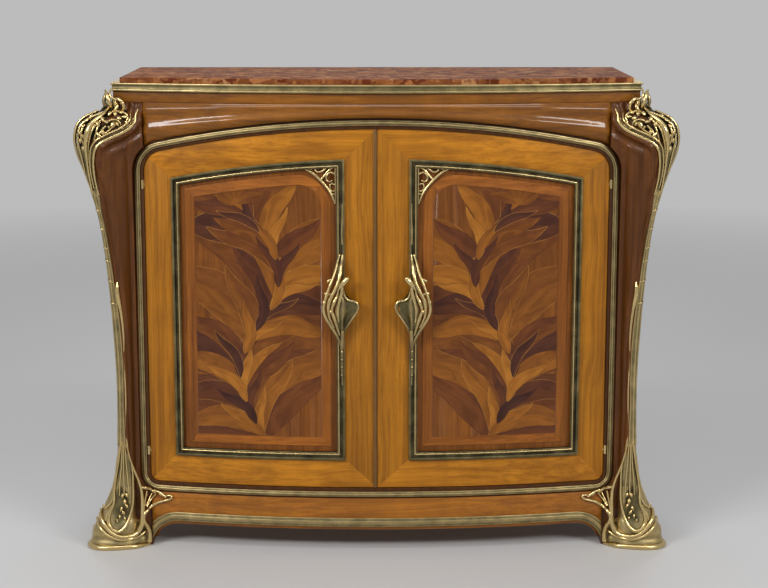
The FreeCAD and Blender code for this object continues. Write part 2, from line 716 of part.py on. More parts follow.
# Height as a share of the post, and how far the flare has swung out there.
SHOULDER_SWING_SHARES = (
    (0, 0), (0.38, 0), (0.48, 0.05), (0.56, 0.11), (0.61, 0.16), (0.69, 0.27), (0.74, 0.37), (0.777, 0.48),
    (0.819, 0.63), (0.85, 0.76), (0.874, 0.87), (0.9, 0.97), (0.922, 1), (0.94, 0.97), (0.958, 0.84),
    (0.971, 0.62), (0.982, 0.3), (1, 0.02),
)
FOOT_SWING_SHARES = (
    (0, 1), (0.017, 0.98), (0.057, 0.76), (0.08, 0.56), (0.111, 0.32), (0.134, 0.18), (0.166, 0.09),
    (0.207, 0.06), (0.256, 0.02), (0.31, 0), (1, 0),
)
HEAD_SHARES = ((0, 0), (0.86, 0), (0.9, 0.3), (0.95, 0.9), (1, 1))
POST_STATION_SHARES = (0, 0.03, 0.07, 0.111, 0.166, 0.256, 0.38, 0.56, 0.69, 0.777, 0.85, 0.9, 0.93, 0.958,
                       0.98, 1)
HEAD_FORWARD = d.post_head_stand - d.door_front + d.frame_stand_over
CAPITAL_SWELL_SHARE = 1.02
SHOULDER_FLARE = d.overall_width / 2 - d.post_corner_x - d.capital_thickness * CAPITAL_SWELL_SHARE


def smooth(table, place):
    """Read a table of shares with a smooth curve through its points."""
    for index in range(len(table) - 1):
        low, high = table[index], table[index + 1]
        if place <= high[0]:
            break
    before = table[max(index - 1, 0)]
    after = table[min(index + 2, len(table) - 1)]
    width = high[0] - low[0]
    share = (place - low[0]) / width
    rise = high[1] - low[1]
    slope_low = slope(before, low, high) * width
    slope_high = slope(low, high, after) * width
    return (low[1] + slope_low * share + (3 * rise - 2 * slope_low - slope_high) * share ** 2
            + (slope_low + slope_high - 2 * rise) * share ** 3)


def slope(before, here, after):
    """A slope that never overshoots the table."""
    if before is here or after is here:
        return 0.0
    left = (here[1] - before[1]) / (here[0] - before[0])
    right = (after[1] - here[1]) / (after[0] - here[0])
    if left * right <= 0:
        return 0.0
    return 2 * left * right / (left + right)


def post_points(z, outward=0.0):
    """The face of the right front post at a height, from the opening round to the side."""
    share = z / POST_TOP.value
    swing = smooth(SHOULDER_SWING_SHARES, share) * SHOULDER_FLARE.value
    foot = smooth(FOOT_SWING_SHARES, share) * d.foot_flare.value
    head = smooth(HEAD_SHARES, share) * HEAD_FORWARD.value
    points = []
    for index, (x, y) in enumerate(WAIST_POINTS):
        px = x.value + SHOULDER_SHARES[index][0] * swing + FOOT_SHARES[index][0] * foot
        py = y.value + SHOULDER_SHARES[index][1] * swing + FOOT_SHARES[index][1] * foot
        if index < 2:
            py += head
        push = OUTWARD_SHARES[index]
        points.append(Vector(px + outward * push[0], outward * push[1] - py, z))
    return points


FACE_PARAMETER_SHARES = (0, 0.15, 0.38, 0.55, 0.75, 1)
# Which way each point of the face moves when the face grows outwards.
SLANT = math.sqrt(0.5)
OUTWARD_SHARES = ((0, -1), (0, -1), (0, -1), (SLANT, -SLANT), (1, 0), (1, 0))
# Straight edges that stand for one curve in a lofted section. They keep the solids light.
FACE_EDGES = 12
MOUNT_EDGES = 8
ROUND_EDGES = 8
FINE_SAMPLES = 240
# Which point of the face is the post's front corner.
CORNER = 3


def face_samples(z, count, outward=0.0):
    """Points along a smooth curve through the face, evenly spaced."""
    curve = Part.BSplineCurve()
    curve.interpolate(Points=post_points(z, outward), Parameters=list(FACE_PARAMETER_SHARES))
    return curve.discretize(count + 1)


def loft(name, rings):
    """A solid laid from ring to ring, each a level closed run of points, in light flat triangles."""
    faces = [Part.Face(Part.makePolygon(ring + ring[:1])) for ring in (rings[0], rings[-1])]
    for low, high in zip(rings, rings[1:]):
        for index in range(len(low)):
            after = (index + 1) % len(low)
            here, there, above = low[index], high[after], high[index]
            for corners in ((here, low[after], there), (here, there, above)):
                faces.append(Part.Face(Part.makePolygon(corners + corners[:1])))
    shell = Part.Shell(faces)
    shell.sewShape()
    solid = Part.Solid(shell)
    item = doc.addObject("Part::Feature", name)
    item.Shape = solid.reversed() if solid.Volume < 0 else solid
    return item


def post_loft(name, outward):
    rings = []
    for share in POST_STATION_SHARES:
        z = share * POST_TOP.value
        face = face_samples(z, FACE_EDGES, outward)
        rings.append(face + [Vector(face[0].x, face[-1].y, z)])
    return loft(name, rings)


def round_ring(centre, half_width, half_depth):
    """A level ring of points on an ellipse."""
    turns = [2 * math.pi * index / ROUND_EDGES for index in range(ROUND_EDGES)]
    return [centre + Vector(half_width * math.cos(turn), half_depth * math.sin(turn), 0) for turn in turns]


def front_posts():
    slab = frame_slab("post_cutter", d.joint_gap, STOP_STAND - d.joint_gap)
    both_sides("front_post", cut("post", post_loft("post_blank", ZERO.value), slab))
    return post_loft("post_core", d.mount_gap.value)


def walk(samples, start, step, reach):
    """Index of the sample a given distance along the face from the corner."""
    index = start
    run = 0.0
    while 0 < index < len(samples) - 1 and run < reach:
        run += (samples[index + step] - samples[index]).Length
        index += step
    return index


class Mount:
    """A cast shell that clothes the post's corner between a front and a side edge.

    Rows: share of its height, shares of its reach over the front and over the side, share of its thickness,
    and share of that thickness that is hollowed out again between its ridges.
    """

    def __init__(self, low, high, reach, thickness, lean, rows):
        self.low = as_size(low).value
        self.height = high.value - self.low
        self.reach = reach.value
        self.thickness = thickness.value
        self.lean = lean
        self.rows = rows

    def read(self, column, share):
        return smooth([(row[0], row[column]) for row in self.rows], share)

    def points(self, share, places):
        """Points over the post at one height. Each place is a share from front to side edge, and a lift."""
        z = self.low + self.height * share
        samples = face_samples(z, FINE_SAMPLES)
        corner = post_points(z)[CORNER]
        middle = min(range(len(samples)), key=lambda i: (samples[i] - corner).Length)
        first = walk(samples, middle, -1, self.read(1, share) * self.reach)
        last = walk(samples, middle, 1, self.read(2, share) * self.reach)
        thickness = self.read(3, share) * self.thickness
        found = []
        for across, lift in places:
            near, far = (first, middle) if across < 0.5 else (2 * middle - last, last)
            place = near + (far - near) * across * (2 if across < 0.5 else 1)
            index = min(max(int(place), 1), len(samples) - 3)
            tangent = samples[index + 2] - samples[index - 1]
            normal = Vector(tangent.y, -tangent.x, 0).normalize()
            swell = math.sin(math.pi * min(max(across, 0), 1)) ** self.lean
            here = samples[index] + (samples[index + 1] - samples[index]) * (place - index)
            found.append(here + normal * (thickness * swell - d.mount_seat.value * (1 - swell) + lift))
        return found

    def shell(self, name):
        rings = []
        for share, _, _, thick, flute in self.rows:
            hollow = flute * thick * self.thickness
            rings.append(self.points(share, [(step / MOUNT_EDGES, -hollow if step % 2 else 0)
                                             for step in range(MOUNT_EDGES + 1)]))
        return loft(name, rings)

    def slot(self, name, across, foot, top, half_width):
        """A tool for a leaf-shaped opening through the shell."""
        rings = []
        for along, spread in LEAF_SHARES:
            share = foot + (top - foot) * along
            out = self.thickness
            back = -self.read(3, share) * out - d.mount_seat.value
            left, right = across - half_width * spread, across + half_width * spread
            rings.append(self.points(share, [(left, out), (right, out), (right, back), (left, back)]))
        return loft(name, rings)

    def rim(self, name, path):
        """A raised rib that runs along the shell. Path rows: share of the height, place across, its size."""
        size = d.mount_rib.value
        rings = []
        for share, across, scale in path:
            centre = self.points(share, [(across, 0)])[0]
            rings.append(round_ring(centre, size * scale, size * scale))
        return loft(name, rings)


LEAF_SHARES = ((0, 0.15), (0.25, 0.8), (0.5, 1), (0.75, 0.8), (1, 0.15))
STEM_SHARES = ((0, 1.1, 0.9, 1, 0.3), (0.12, 1, 0.85, 0.9, 0.3), (0.4, 1, 0.9, 0.9, 0.3),
               (0.66, 1.1, 1, 1, 0.3), (0.85, 1.2, 1.1, 1, 0.3), (1, 1.5, 1.3, 1.1, 0.3))
CAPITAL_SHARES = (
    (0, 0.15, 0.13, 0.85, 0.3), (0.15, 0.13, 0.13, 0.8, 0.3), (0.3, 0.19, 0.18, 0.85, 0.3),
    (0.46, 0.3, 0.28, 0.95, 0.25), (0.58, 0.45, 0.38, 1.1, 0.15), (0.66, 0.72, 0.52, 1.2, 0.1),
    (0.74, 0.95, 0.66, 1.2, 0.1), (0.84, 1.04, 0.72, 1.1, 0.1), (0.93, 0.92, 0.62, 1, 0.1),
    (1, 0.66, 0.4, 0.7, 0),
)
# Openings of the capital: place across, foot and top as shares of the height, half width as a share.
CAPITAL_SLOTS = ((0.17, 0.7, 0.89, 0.04), (0.29, 0.62, 0.93, 0.04), (0.41, 0.6, 0.95, 0.035),
                 (0.6, 0.6, 0.94, 0.035), (0.74, 0.64, 0.9, 0.04))
CAPITAL_RIM = ((0.28, 0.04, 0.5), (0.46, 0.03, 0.8), (0.58, 0.03, 1), (0.66, 0.03, 1.2), (0.74, 0.03, 1.3),
               (0.84, 0.04, 1.3), (0.92, 0.07, 1.1), (0.98, 0.14, 0.7))
# The scroll: share of its height, shares of its radius outwards and forwards, share of its thickness.
SCROLL_SHARES = ((0, 0, 0.3, 0.75), (0.25, 0.1, 0.5, 0.9), (0.5, 0.2, 0.8, 0.8), (0.75, 0.3, 0.9, 0.65),
                 (0.9, 0.1, 0.8, 0.5), (1, -0.2, 0.6, 0.3))
SABOT_SHARES = (
    (0, 1, 0.76, 0.92, 0), (0.06, 1, 0.76, 1, 0.05), (0.2, 0.92, 0.7, 0.95, 0.2),
    (0.34, 0.74, 0.58, 0.78, 0.3), (0.46, 0.56, 0.4, 0.66, 0.3), (0.58, 0.42, 0.28, 0.5, 0.3),
    (0.72, 0.33, 0.2, 0.42, 0.3), (0.88, 0.22, 0.14, 0.38, 0.3), (1, 0.12, 0.1, 0.3, 0.3),
)
SABOT_SLOT = (0.14, 0.24, 0.62, 0.035)
BUD_SHARES = ((0, 0.5, 1), (0.14, 0.37, 1), (0.4, 0.32, 1), (0.62, 0.34, 1), (0.8, 0.5, 1), (0.9, 0.42, 1.1),
              (0.93, 0.38, 1.7), (0.965, 0.4, 1.9), (1, 0.42, 0.5))
BUD_SINK_SHARE = 0.4
# The sabot's arm over the end of the apron, as shares of its reach and height from the foot of its root.
ARM_OUTLINE = ((0, 0), (0.04, 0.32), (0.28, 0.72), (0.6, 0.95), (0.78, 0.83), (0.9, 0.7), (1, 0.62),
               (0.82, 0.53), (0.52, 0.43), (0.36, 0.31), (0.3, 0.02))
ARM_OPENINGS = (((0.31, 0.64), (0.33, 0.45), (0.44, 0.49), (0.5, 0.78)),
                ((0.56, 0.82), (0.5, 0.52), (0.62, 0.56), (0.7, 0.74)))


def capital(core):
    mount = Mount(d.stem_top, d.capital_top, d.capital_reach, d.capital_thickness, 0.4, CAPITAL_SHARES)
    slots = [mount.slot("capital_slot_%d" % number, *row)
             for number, row in enumerate(CAPITAL_SLOTS, start=1)]
    shell = cut("capital_pierced", mount.shell("capital_loft"), fuse("capital_slots", *slots))
    radius = d.scroll_radius.value
    foot = d.capital_top.value - radius
    rise = (MARBLE_FOOT - d.joint_gap).value - foot
    rings = []
    for share, outward, forward, size in SCROLL_SHARES:
        z = foot + rise * share
        centre = post_points(min(z, POST_TOP.value))[CORNER] + Vector(radius * outward, -radius * forward, 0)
        centre.z = z
        rings.append(round_ring(centre, radius * size, radius * size))
    rim = mount.rim("capital_rim", CAPITAL_RIM)
    solid = fuse("capital_solid", shell, rim, loft("capital_scroll", rings))
    both_sides("capital", cut("capital_whole", solid, core))


def corner_stem(core):
    mount = Mount(d.stem_foot, d.stem_top, d.stem_reach, d.mount_thickness, 0.5, STEM_SHARES)
    both_sides("corner_stem", cut("stem", mount.shell("stem_loft"), core))


def bud_stem():
    """The thin stem with a bud that climbs the post's front from the sabot."""
    low = d.stem_foot.value * d.bud_root_share.value
    edge_x = (d.door_half_width + FRAME_OUTSET).value
    radius = d.bud_stem_radius.value
    rings = []
    for share, across, size in BUD_SHARES:
        z = low + (d.bud_level.value - low) * share
        x = edge_x + (post_points(z)[CORNER].x - edge_x) * (1 - across)
        front = [point for point in face_samples(z, FINE_SAMPLES) if point.y < -d.post_joint_y.value]
        y = min(front, key=lambda point: abs(point.x - x)).y
        rings.append(round_ring(Vector(x, y - radius * BUD_SINK_SHARE, z), radius * size, radius * size))
    return loft("bud_loft", rings)


def sabot_arm():
    """The arm that spreads from the sabot over the end of the apron, pierced between its twigs."""
    root_x = d.post_inner + d.arm_root

    def corners(shares):
        return [(root_x - d.arm_reach * across, d.arm_foot + d.arm_height * up) for across, up in shares]

    ring = bow_ring("arm_ring", d.apron_brass_stand + d.arm_rise, d.apron_stand + d.joint_gap)
    plate = common("arm_plate", ring, elevation_prism("arm_prism", corners(ARM_OUTLINE), ALL_Y))
    openings = [elevation_prism("arm_opening_%d" % number, corners(shares), ALL_Y)
                for number, shares in enumerate(ARM_OPENINGS, start=1)]
    return cut("arm_pierced", plate, fuse("arm_openings", *openings))


def sabot(core):
    mount = Mount(ZERO, d.stem_foot, d.sabot_reach, d.sabot_thickness, 0.45, SABOT_SHARES)
    shell = cut("sabot_pierced", mount.shell("sabot_loft"), mount.slot("sabot_slot", *SABOT_SLOT))
    both_sides("sabot", cut("sabot_whole", fuse("sabot_solid", shell, bud_stem(), sabot_arm()), core))


# Sides, back and inside.

def rear_post():
    corners = [(REAR_POST_INNER, REAR_POST_FACE), (REAR_POST_X, REAR_POST_FACE), (REAR_POST_X, HALF_DEPTH),
               (REAR_POST_INNER, HALF_DEPTH)]
    body = plan_body("rear_post_blank", corners, ZERO, POST_TOP)
    outer = (REAR_POST_INNER + REAR_POST_X).value / 2

    def outer_edge(middle, edge):
        return edge.Length > d.rear_post_width.value * 2 and middle.x > outer

    dress(body, "PartDesign::Chamfer", "rear_post_edges", "Size", d.rear_post_chamfer, outer_edge)
    both_sides("rear_post", body)


def sides():
    front = -d.post_rear + d.joint_gap
    rear = REAR_POST_FACE - d.joint_gap
    inner = d.side_face - d.side_rail_thickness
    rails = []
    for name, foot, top in (("top", POST_TOP - d.side_rail_width, POST_TOP),
                            ("low", d.base_rail_foot, d.base_rail_foot + d.side_rail_width)):
        rails.append(box("side_rail_" + name, (inner, d.side_face), (front, rear), (foot, top)))
    both_sides("side_rails", fuse("side_rail_pair", *rails))
    outer = d.side_face - d.side_panel_setback
    corners = [(outer - d.side_panel_thickness, front), (outer, front), (outer, rear),
               (outer - d.side_panel_thickness, rear)]
    foot = d.base_rail_foot + d.side_rail_width + d.joint_gap
    top = POST_TOP - d.side_rail_width - d.joint_gap
    both_sides("side_panel", plan_body("side_panel_board", corners, foot, top - foot))


def back():
    half = REAR_POST_INNER - d.joint_gap
    middle = (REAR_POST_FACE + HALF_DEPTH) / 2
    y_span = (middle - d.back_rail_thickness / 2, middle + d.back_rail_thickness / 2)
    rails = []
    for name, foot, top in (("top", POST_TOP - d.side_rail_width, POST_TOP),
                            ("low", d.base_rail_foot, d.base_rail_foot + d.side_rail_width)):
        rails.append(box("back_rail_" + name, (-half, half), y_span, (foot, top)))
    keep("back_rails", fuse("back_rail_pair", *rails))
    corners = [(-half, middle), (half, middle), (half, middle + d.back_panel_thickness),
               (-half, middle + d.back_panel_thickness)]
    foot = d.base_rail_foot + d.side_rail_width + d.joint_gap
    top = POST_TOP - d.side_rail_width - d.joint_gap
    keep("back_panel", plan_body("back_panel_board", corners, foot, top - foot))


def inside():
    step = -d.post_rear + d.shelf_gap
    rear = (REAR_POST_FACE + HALF_DEPTH) / 2 - d.back_rail_thickness / 2 - d.joint_gap
    notch = REAR_POST_FACE - d.shelf_gap
    side = d.side_face - d.side_rail_thickness - d.joint_gap
    front = bow_y(STOP_STAND, INNER_HALF)
    half = REAR_POST_INNER - d.shelf_gap
    right = [(INNER_HALF, front), (INNER_HALF, step), (side, step), (side, notch), (half, notch),
             (half, rear)]
    left = [(-x, y) for x, y in reversed(right)]
    keep("bottom_board", plan_body("bottom_plank", [left[-1]] + right + left[:-1], BOARD_FOOT,
                                   d.bottom_board_thickness, STOP_STAND))
    panel = d.side_face - d.side_panel_setback - d.side_panel_thickness
    corners = stepped_corners(INNER_HALF, d.shelf_stand, step, panel - d.shelf_gap, notch)
    keep("shelf", plan_body("shelf_plank", corners, d.shelf_level - d.shelf_thickness, d.shelf_thickness,
                            d.shelf_stand))
    top = d.shelf_level - d.shelf_thickness
    bearers = [box("bearer_" + side_name, span, (step, notch), (top - d.bearer_height, top))
               for side_name, span in (("right", (panel - d.bearer_width, panel)),
                                       ("left", (-panel, d.bearer_width - panel)))]
    keep("shelf_bearers", fuse("shelf_bearer_pair", *bearers))


# Doors. The right one is modelled and the left one mirrored.

SEAM = d.seam_gap / 2
HOLE_IN = SEAM + d.meeting_stile_width
HOLE_OUT = d.door_half_width - d.hinge_stile_width
HOLE_FOOT = d.door_foot_level + d.bottom_rail_width
HOLE_CROWN = d.door_crown_level - d.top_rail_width


def hole_blank(name, outset):
    """The panel opening of the right door, set out by a named amount."""
    return arched_blank(name, (HOLE_IN - outset, HOLE_OUT + outset), HOLE_FOOT - outset, HOLE_CROWN + outset)


def door_slab():
    blank = arched_blank("door_outline", (SEAM, d.door_half_width), d.door_foot_level, d.door_crown_level,
                         d.door_top_corner, d.door_low_corner)
    ring = bow_ring("door_ring", d.door_front, DOOR_BACK)
    return cut("door_frame_ring", common("door_plate", blank, ring), hole_blank("panel_hole", ZERO))


def mitre_corners():
    """Corner pairs of the door's four mitres: panel corner, and a point beyond the door's corner."""
    pairs = {}
    for name, x_in, x_out in (("in", HOLE_IN, SEAM), ("out", HOLE_OUT, d.door_half_width)):
        for level, z_in, z_out in (("low", HOLE_FOOT, d.door_foot_level),
                                   ("top", arch_z(HOLE_CROWN, x_in), arch_z(d.door_crown_level, x_out))):
            beyond = (x_out + (x_out - x_in) * d.mitre_share, z_out + (z_out - z_in) * d.mitre_share)
            pairs[name + "_" + level] = ((x_in, z_in), beyond)
    return pairs


def hinge_cylinder(name, level, radius, height, lift):
    low = level + lift
    return upright(name, d.hinge_x, -d.hinge_stand, radius, (low, low + height))


def carcass_leaf_box(name, level, gap):
    """Plate of a hinge on the frame side."""
    x = d.door_half_width + d.door_gap
    y = -d.hinge_stand + d.leaf_setback
    return box(name, (x - gap, x + d.leaf_thickness + gap), (y - gap, y + d.leaf_depth + gap),
               (level - d.leaf_half_height - gap, level + d.leaf_half_height + gap))


def door_leaf_box(name, level, gap):
    """Plate of a hinge on the door side."""
    x = d.door_half_width
    y = -d.hinge_stand + d.leaf_setback
    return box(name, (x - d.leaf_thickness - gap, x + gap), (y - gap, y + d.leaf_depth + gap),
               (level - d.leaf_half_height - gap, level + d.leaf_half_height + gap))


def neck_box(name, level, x_span, z_span, gap):
    """Neck from a knuckle back to its plate."""
    y = -d.hinge_stand
    return box(name, (x_span[0] - gap, x_span[1] + gap), (y, y + d.leaf_setback + d.leaf_neck),
               (level + z_span[0] - gap, level + z_span[1] + gap))


def hinges():
    """Pairs of hinges: the frame's leaves carry the riveted pins, and a door's leaf turns on each."""
    bore = d.pin_radius + d.pin_clearance
    door_half = d.knuckle_height / 2 - d.knuckle_gap
    carcass_leaves = []
    door_leaves = []
    rooms = []
    for spot, level in (("low", d.hinge_low_level), ("top", d.hinge_top_level)):
        half = d.knuckle_height / 2
        for end, lift in (("under", -half * 3), ("over", half)):
            barrel = hinge_cylinder("knuckle_%s_%s" % (end, spot), level, d.knuckle_radius,
                                    d.knuckle_height, lift)
            edge = d.door_half_width + d.door_gap
            neck = neck_box("neck_%s_%s" % (end, spot), level, (edge, edge + d.leaf_thickness),
                            (lift, lift + d.knuckle_height), ZERO)
            carcass_leaves.append(barrel)
            carcass_leaves.append(neck)
        carcass_leaves.append(carcass_leaf_box("carcass_plate_" + spot, level, ZERO))
        barrel = hinge_cylinder("knuckle_door_" + spot, level, d.knuckle_radius, door_half * 2, -door_half)
        tie = (d.door_half_width - d.leaf_thickness, d.door_half_width + d.door_gap)
        neck = neck_box("neck_door_" + spot, level, tie, (-door_half, door_half), ZERO)
        leaf = fuse("door_leaf_solid_" + spot, barrel, neck, door_leaf_box("door_plate_" + spot, level, ZERO))
        door_leaves.append(cut("door_leaf_" + spot, leaf,
                               hinge_cylinder("door_bore_" + spot, level, bore, d.knuckle_height * 4,
                                              -d.knuckle_height * 2)))
        rooms.append(neck_box("neck_room_" + spot, level, tie, (-door_half, door_half), d.joint_gap))
        rooms.append(door_leaf_box("door_plate_room_" + spot, level, d.joint_gap))
        carcass_leaves.append(hinge_cylinder("pin_" + spot, level, d.pin_radius, d.knuckle_height * 2,
                                             -d.knuckle_height))
    leaves = fuse("carcass_leaves_right", *carcass_leaves)
    keep("frame_hinges", fuse("frame_hinges_all", leaves, mirror("carcass_leaves_left", leaves)))
    both_sides("door_hinge_leaves", fuse("door_leaf_pair", *door_leaves))
    return fuse("door_leaf_rooms", *rooms)


def door_members(leaf_rooms):
    ring = door_slab()
    pairs = mitre_corners()
    members = {
        "hinge_stile": ("out_low", "out_top"),
        "meeting_stile": ("in_top", "in_low"),
        "bottom_rail": ("in_low", "out_low"),
        "top_rail": ("out_top", "in_top"),
    }
    made = {}
    for name, (first, second) in members.items():
        corners = [pairs[first][0], pairs[first][1], pairs[second][1], pairs[second][0]]
        zone = elevation_prism(name + "_zone", corners, ALL_Y)
        made[name] = common(name + "_wood", ring, zone)
    both_sides("door_hinge_stile", cut("hinge_stile", made["hinge_stile"], leaf_rooms))
    keep("right_door_meeting_stile", cut("right_meeting", made["meeting_stile"], lock_room()))
    rooms = bolt_rooms()
    for name in ("bottom_rail", "top_rail"):
        keep("right_door_" + name, made[name])
        keep("left_door_" + name, cut("left_" + name, mirror("left_blank_" + name, made[name]), rooms))
    left = mirror("left_meeting_blank", made["meeting_stile"])
    keep("left_door_meeting_stile", cut("left_meeting", left, rooms))


def door_panel():
    ground_stand = d.door_front - d.panel_setback
    ground = common("panel_ground", hole_blank("panel_outline", -d.joint_gap),
                    bow_ring("panel_ring", ground_stand, ground_stand - d.panel_thickness))
    outline_blank = hole_blank("field_outline", -d.field_margin)

    def bracket_corner(middle, edge):
        near = middle.x < HOLE_IN.value + d.field_margin.value + NEAR
        return along_y(edge) and near and middle.z > d.shelf_level.value

    field_blank = rounded("field_rounded", outline_blank, d.field_corner, bracket_corner)
    field = common("field_plate", field_blank,
                   bow_ring("field_ring", ground_stand + d.field_rise, ground_stand - d.panel_thickness / 2))
    doc.recompute()
    front = ground_stand + d.field_rise

    def on_front(middle, edge):
        return abs(middle.y - bow_y(front, as_size(middle.x)).value) < EXACT and not along_y(edge)

    bevelled_field = bevelled("field_bevelled", field, d.field_bevel, on_front)
    both_sides("door_panel", fuse("panel_whole", ground, bevelled_field))


def panel_moulding():
    lap = d.moulding_lap
    inner = lap - d.moulding_width
    back = d.door_front + d.joint_gap
    deep = d.door_front - d.panel_setback + d.joint_gap
    face = d.door_front + d.moulding_base
    outer = common("trim_plate", hole_blank("trim_outline", lap), bow_ring("trim_ring", face, back))
    crest = common("trim_crest", hole_blank("trim_crest_outline", lap),
                   bow_ring("trim_crest_ring", d.door_front + d.moulding_rise, back))
    crest_hoop = cut("trim_crest_hoop", crest, hole_blank("trim_crest_inside", lap - d.moulding_outer_bead))
    rebate = common("trim_rebate", hole_blank("trim_rebate_outline", -d.joint_gap),
                    bow_ring("trim_rebate_ring", face, deep))
    inner_bead = common("trim_bead", hole_blank("trim_bead_outline", inner + d.moulding_inner_bead),
                        bow_ring("trim_bead_ring", d.door_front + d.moulding_inner_rise, deep))
    body = fuse("trim_whole", outer, crest_hoop, rebate, inner_bead)
    hollow = hole_blank("trim_inside", inner)
    both_sides("door_panel_moulding", cut("trim", body, hollow))


# Round openings of the bracket: shares of its reach across, down and for the radius.
BRACKET_SHARES = ((0.135, 0.15, 0.09), (0.34, 0.13, 0.075), (0.12, 0.36, 0.075))


def corner_bracket():
    """Openwork bracket in the panel's upper inner corner."""
    inset = d.moulding_width - d.moulding_lap + d.joint_gap
    stand = d.door_front - d.panel_setback + d.joint_gap
    blank = common("bracket_plate", hole_blank("bracket_outline", -inset),
                   bow_ring("bracket_ring", stand + d.bracket_thickness, stand))
    left = HOLE_IN + inset
    top = arch_z(HOLE_CROWN - inset, left)
    zone = box("bracket_zone", (left, left + d.bracket_reach), ALL_Y,
               (top - d.bracket_reach, top + d.overrun))
    centre_x = HOLE_IN + d.field_margin + d.field_corner
    centre_z = arch_z(HOLE_CROWN - d.field_margin, centre_x) - d.field_corner
    hollow = lying("bracket_hollow", centre_x, centre_z, d.field_corner + d.bracket_gap, ALL_Y)
    holes = [hollow]
    for number, (across, down, size) in enumerate(BRACKET_SHARES, start=1):
        holes.append(lying("bracket_hole_%d" % number, left + d.bracket_reach * across,
                           top - d.bracket_reach * down, d.bracket_reach * size, ALL_Y))
    both_sides("door_corner_bracket",
               cut("bracket", common("bracket_corner", blank, zone), fuse("bracket_voids", *holes)))


BAR_SHARES = ((0, 0, 0, 0.6), (0.1, 0.26, 0.3, 0.95), (0.19, 0.74, 0.7, 1.1), (0.29, 1, 0.96, 1.1),
              (0.41, 1, 1, 1), (0.53, 0.74, 0.84, 1), (0.63, 0.28, 0.4, 0.9), (0.72, 0.02, 0, 0.7))
SPUR_SHARES = ((0.02, 0.04, 0.04, 0.4), (0.1, -0.2, 0.36, 0.75), (0.21, -0.5, 0.85, 0.85),
               (0.31, -0.46, 0.97, 0.9), (0.43, -0.36, 0.97, 0.9), (0.55, -0.16, 0.72, 0.8),
               (0.65, 0.1, 0.3, 0.6), (0.69, 0.12, 0.16, 0.45))
# How deep the handle's bars are against their width.
BAR_DEPTH_SHARE = 0.94


def handle_loft(name, rows):
    """Rows: share of the way down, sideways and forward shares, share of the section."""
    back_y = bow_y(d.door_front + d.moulding_base, d.handle_x).value
    radius = d.handle_bar_radius.value
    front_y = -HALF_DEPTH.value + radius
    start_y = back_y - d.handle_stem_radius.value - d.joint_gap.value
    top = d.handle_top.value
    rings = []
    for down, sideways, forward, size in rows:
        z = top - (top - d.handle_foot.value) * down
        centre = Vector(d.handle_x.value + d.handle_swing.value * sideways,
                        start_y + (front_y - start_y) * forward, z)
        rings.append(round_ring(centre, radius * size, radius * size * BAR_DEPTH_SHARE))
    return loft(name, rings)


def leaf_pad():
    """The leaf that widens the handle's inner bar and carries the keyhole: two arcs seen from the front."""
    half_height = d.leaf_pad_half_height
    half_width = d.leaf_pad_half_width
    radius = (half_height * half_height + half_width * half_width) / (half_width * 2)
    x = d.keyhole_x + d.leaf_pad_shift
    z = d.lock_level + d.leaf_pad_rise
    middle = -HALF_DEPTH + d.handle_bar_radius
    span = (middle - d.leaf_pad_half_depth, middle + d.leaf_pad_half_depth)
    sides = [lying("leaf_arc_" + side, centre, z, radius, span)
             for side, centre in (("right", x + half_width - radius), ("left", x - half_width + radius))]
    lens = common("leaf_lens", *sides)

    def long_arc(middle_point, edge):
        return edge.Length > half_height.value

    return bevelled("handle_pad", lens, d.leaf_pad_bevel, long_arc)


def handles():
    bar = handle_loft("handle_bar", BAR_SHARES)
    spur = handle_loft("handle_spur", SPUR_SHARES)
    pad = leaf_pad()
    radius = d.handle_stem_radius.value
    y = bow_y(d.door_front + d.moulding_rise, d.handle_x) + d.joint_gap
    ends = [Vector(d.handle_x.value, y.value - radius, z.value)
            for z in (d.handle_foot, d.handle_top + d.handle_bar_radius)]
    stem = loft("handle_stem", [round_ring(end, radius, radius) for end in ends])
    behind = bow("handle_seat", d.door_front + d.moulding_rise + d.joint_gap)
    plain = cut("handle_seated", fuse("handle_solid", bar, spur, pad, stem), behind)
    keep("left_door_handle", mirror("left_handle", plain))
    slot_half = d.keyhole_radius / 2
    keyhole = fuse("keyhole",
                   lying("keyhole_round", d.keyhole_x, d.lock_level, d.keyhole_radius, ALL_Y),
                   box("keyhole_slot", (d.keyhole_x - slot_half, d.keyhole_x + slot_half), ALL_Y,
                       (d.lock_level - d.keyhole_radius * 3, d.lock_level)))
    pierced = fuse("pierced_handle_solid", bar, spur, cut("pierced_pad", pad, keyhole), stem)
    keep("right_door_handle", cut("pierced_handle_seated", pierced, behind))


def meeting_bead():
    ring = bow_ring("bead_ring", d.door_front + d.bead_rise, d.door_front + d.joint_gap)
    blank = arched_blank("bead_outline", (-SEAM - d.bead_width, -SEAM), d.door_foot_level, d.door_crown_level)
    keep("left_door_meeting_bead", common("bead", blank, ring))


# Bolts of the left door and lock of the right one.

def bolt_span(upper):
    crown = d.door_crown_level - d.bolt_setback
    foot = d.door_foot_level + d.bolt_setback
    return (crown - d.bolt_length, crown) if upper else (foot, foot + d.bolt_length)


def knob_level(upper):
    low, high = bolt_span(upper)
    share = d.bolt_knob_share
    return high - (high - low) * share if upper else low + (high - low) * share


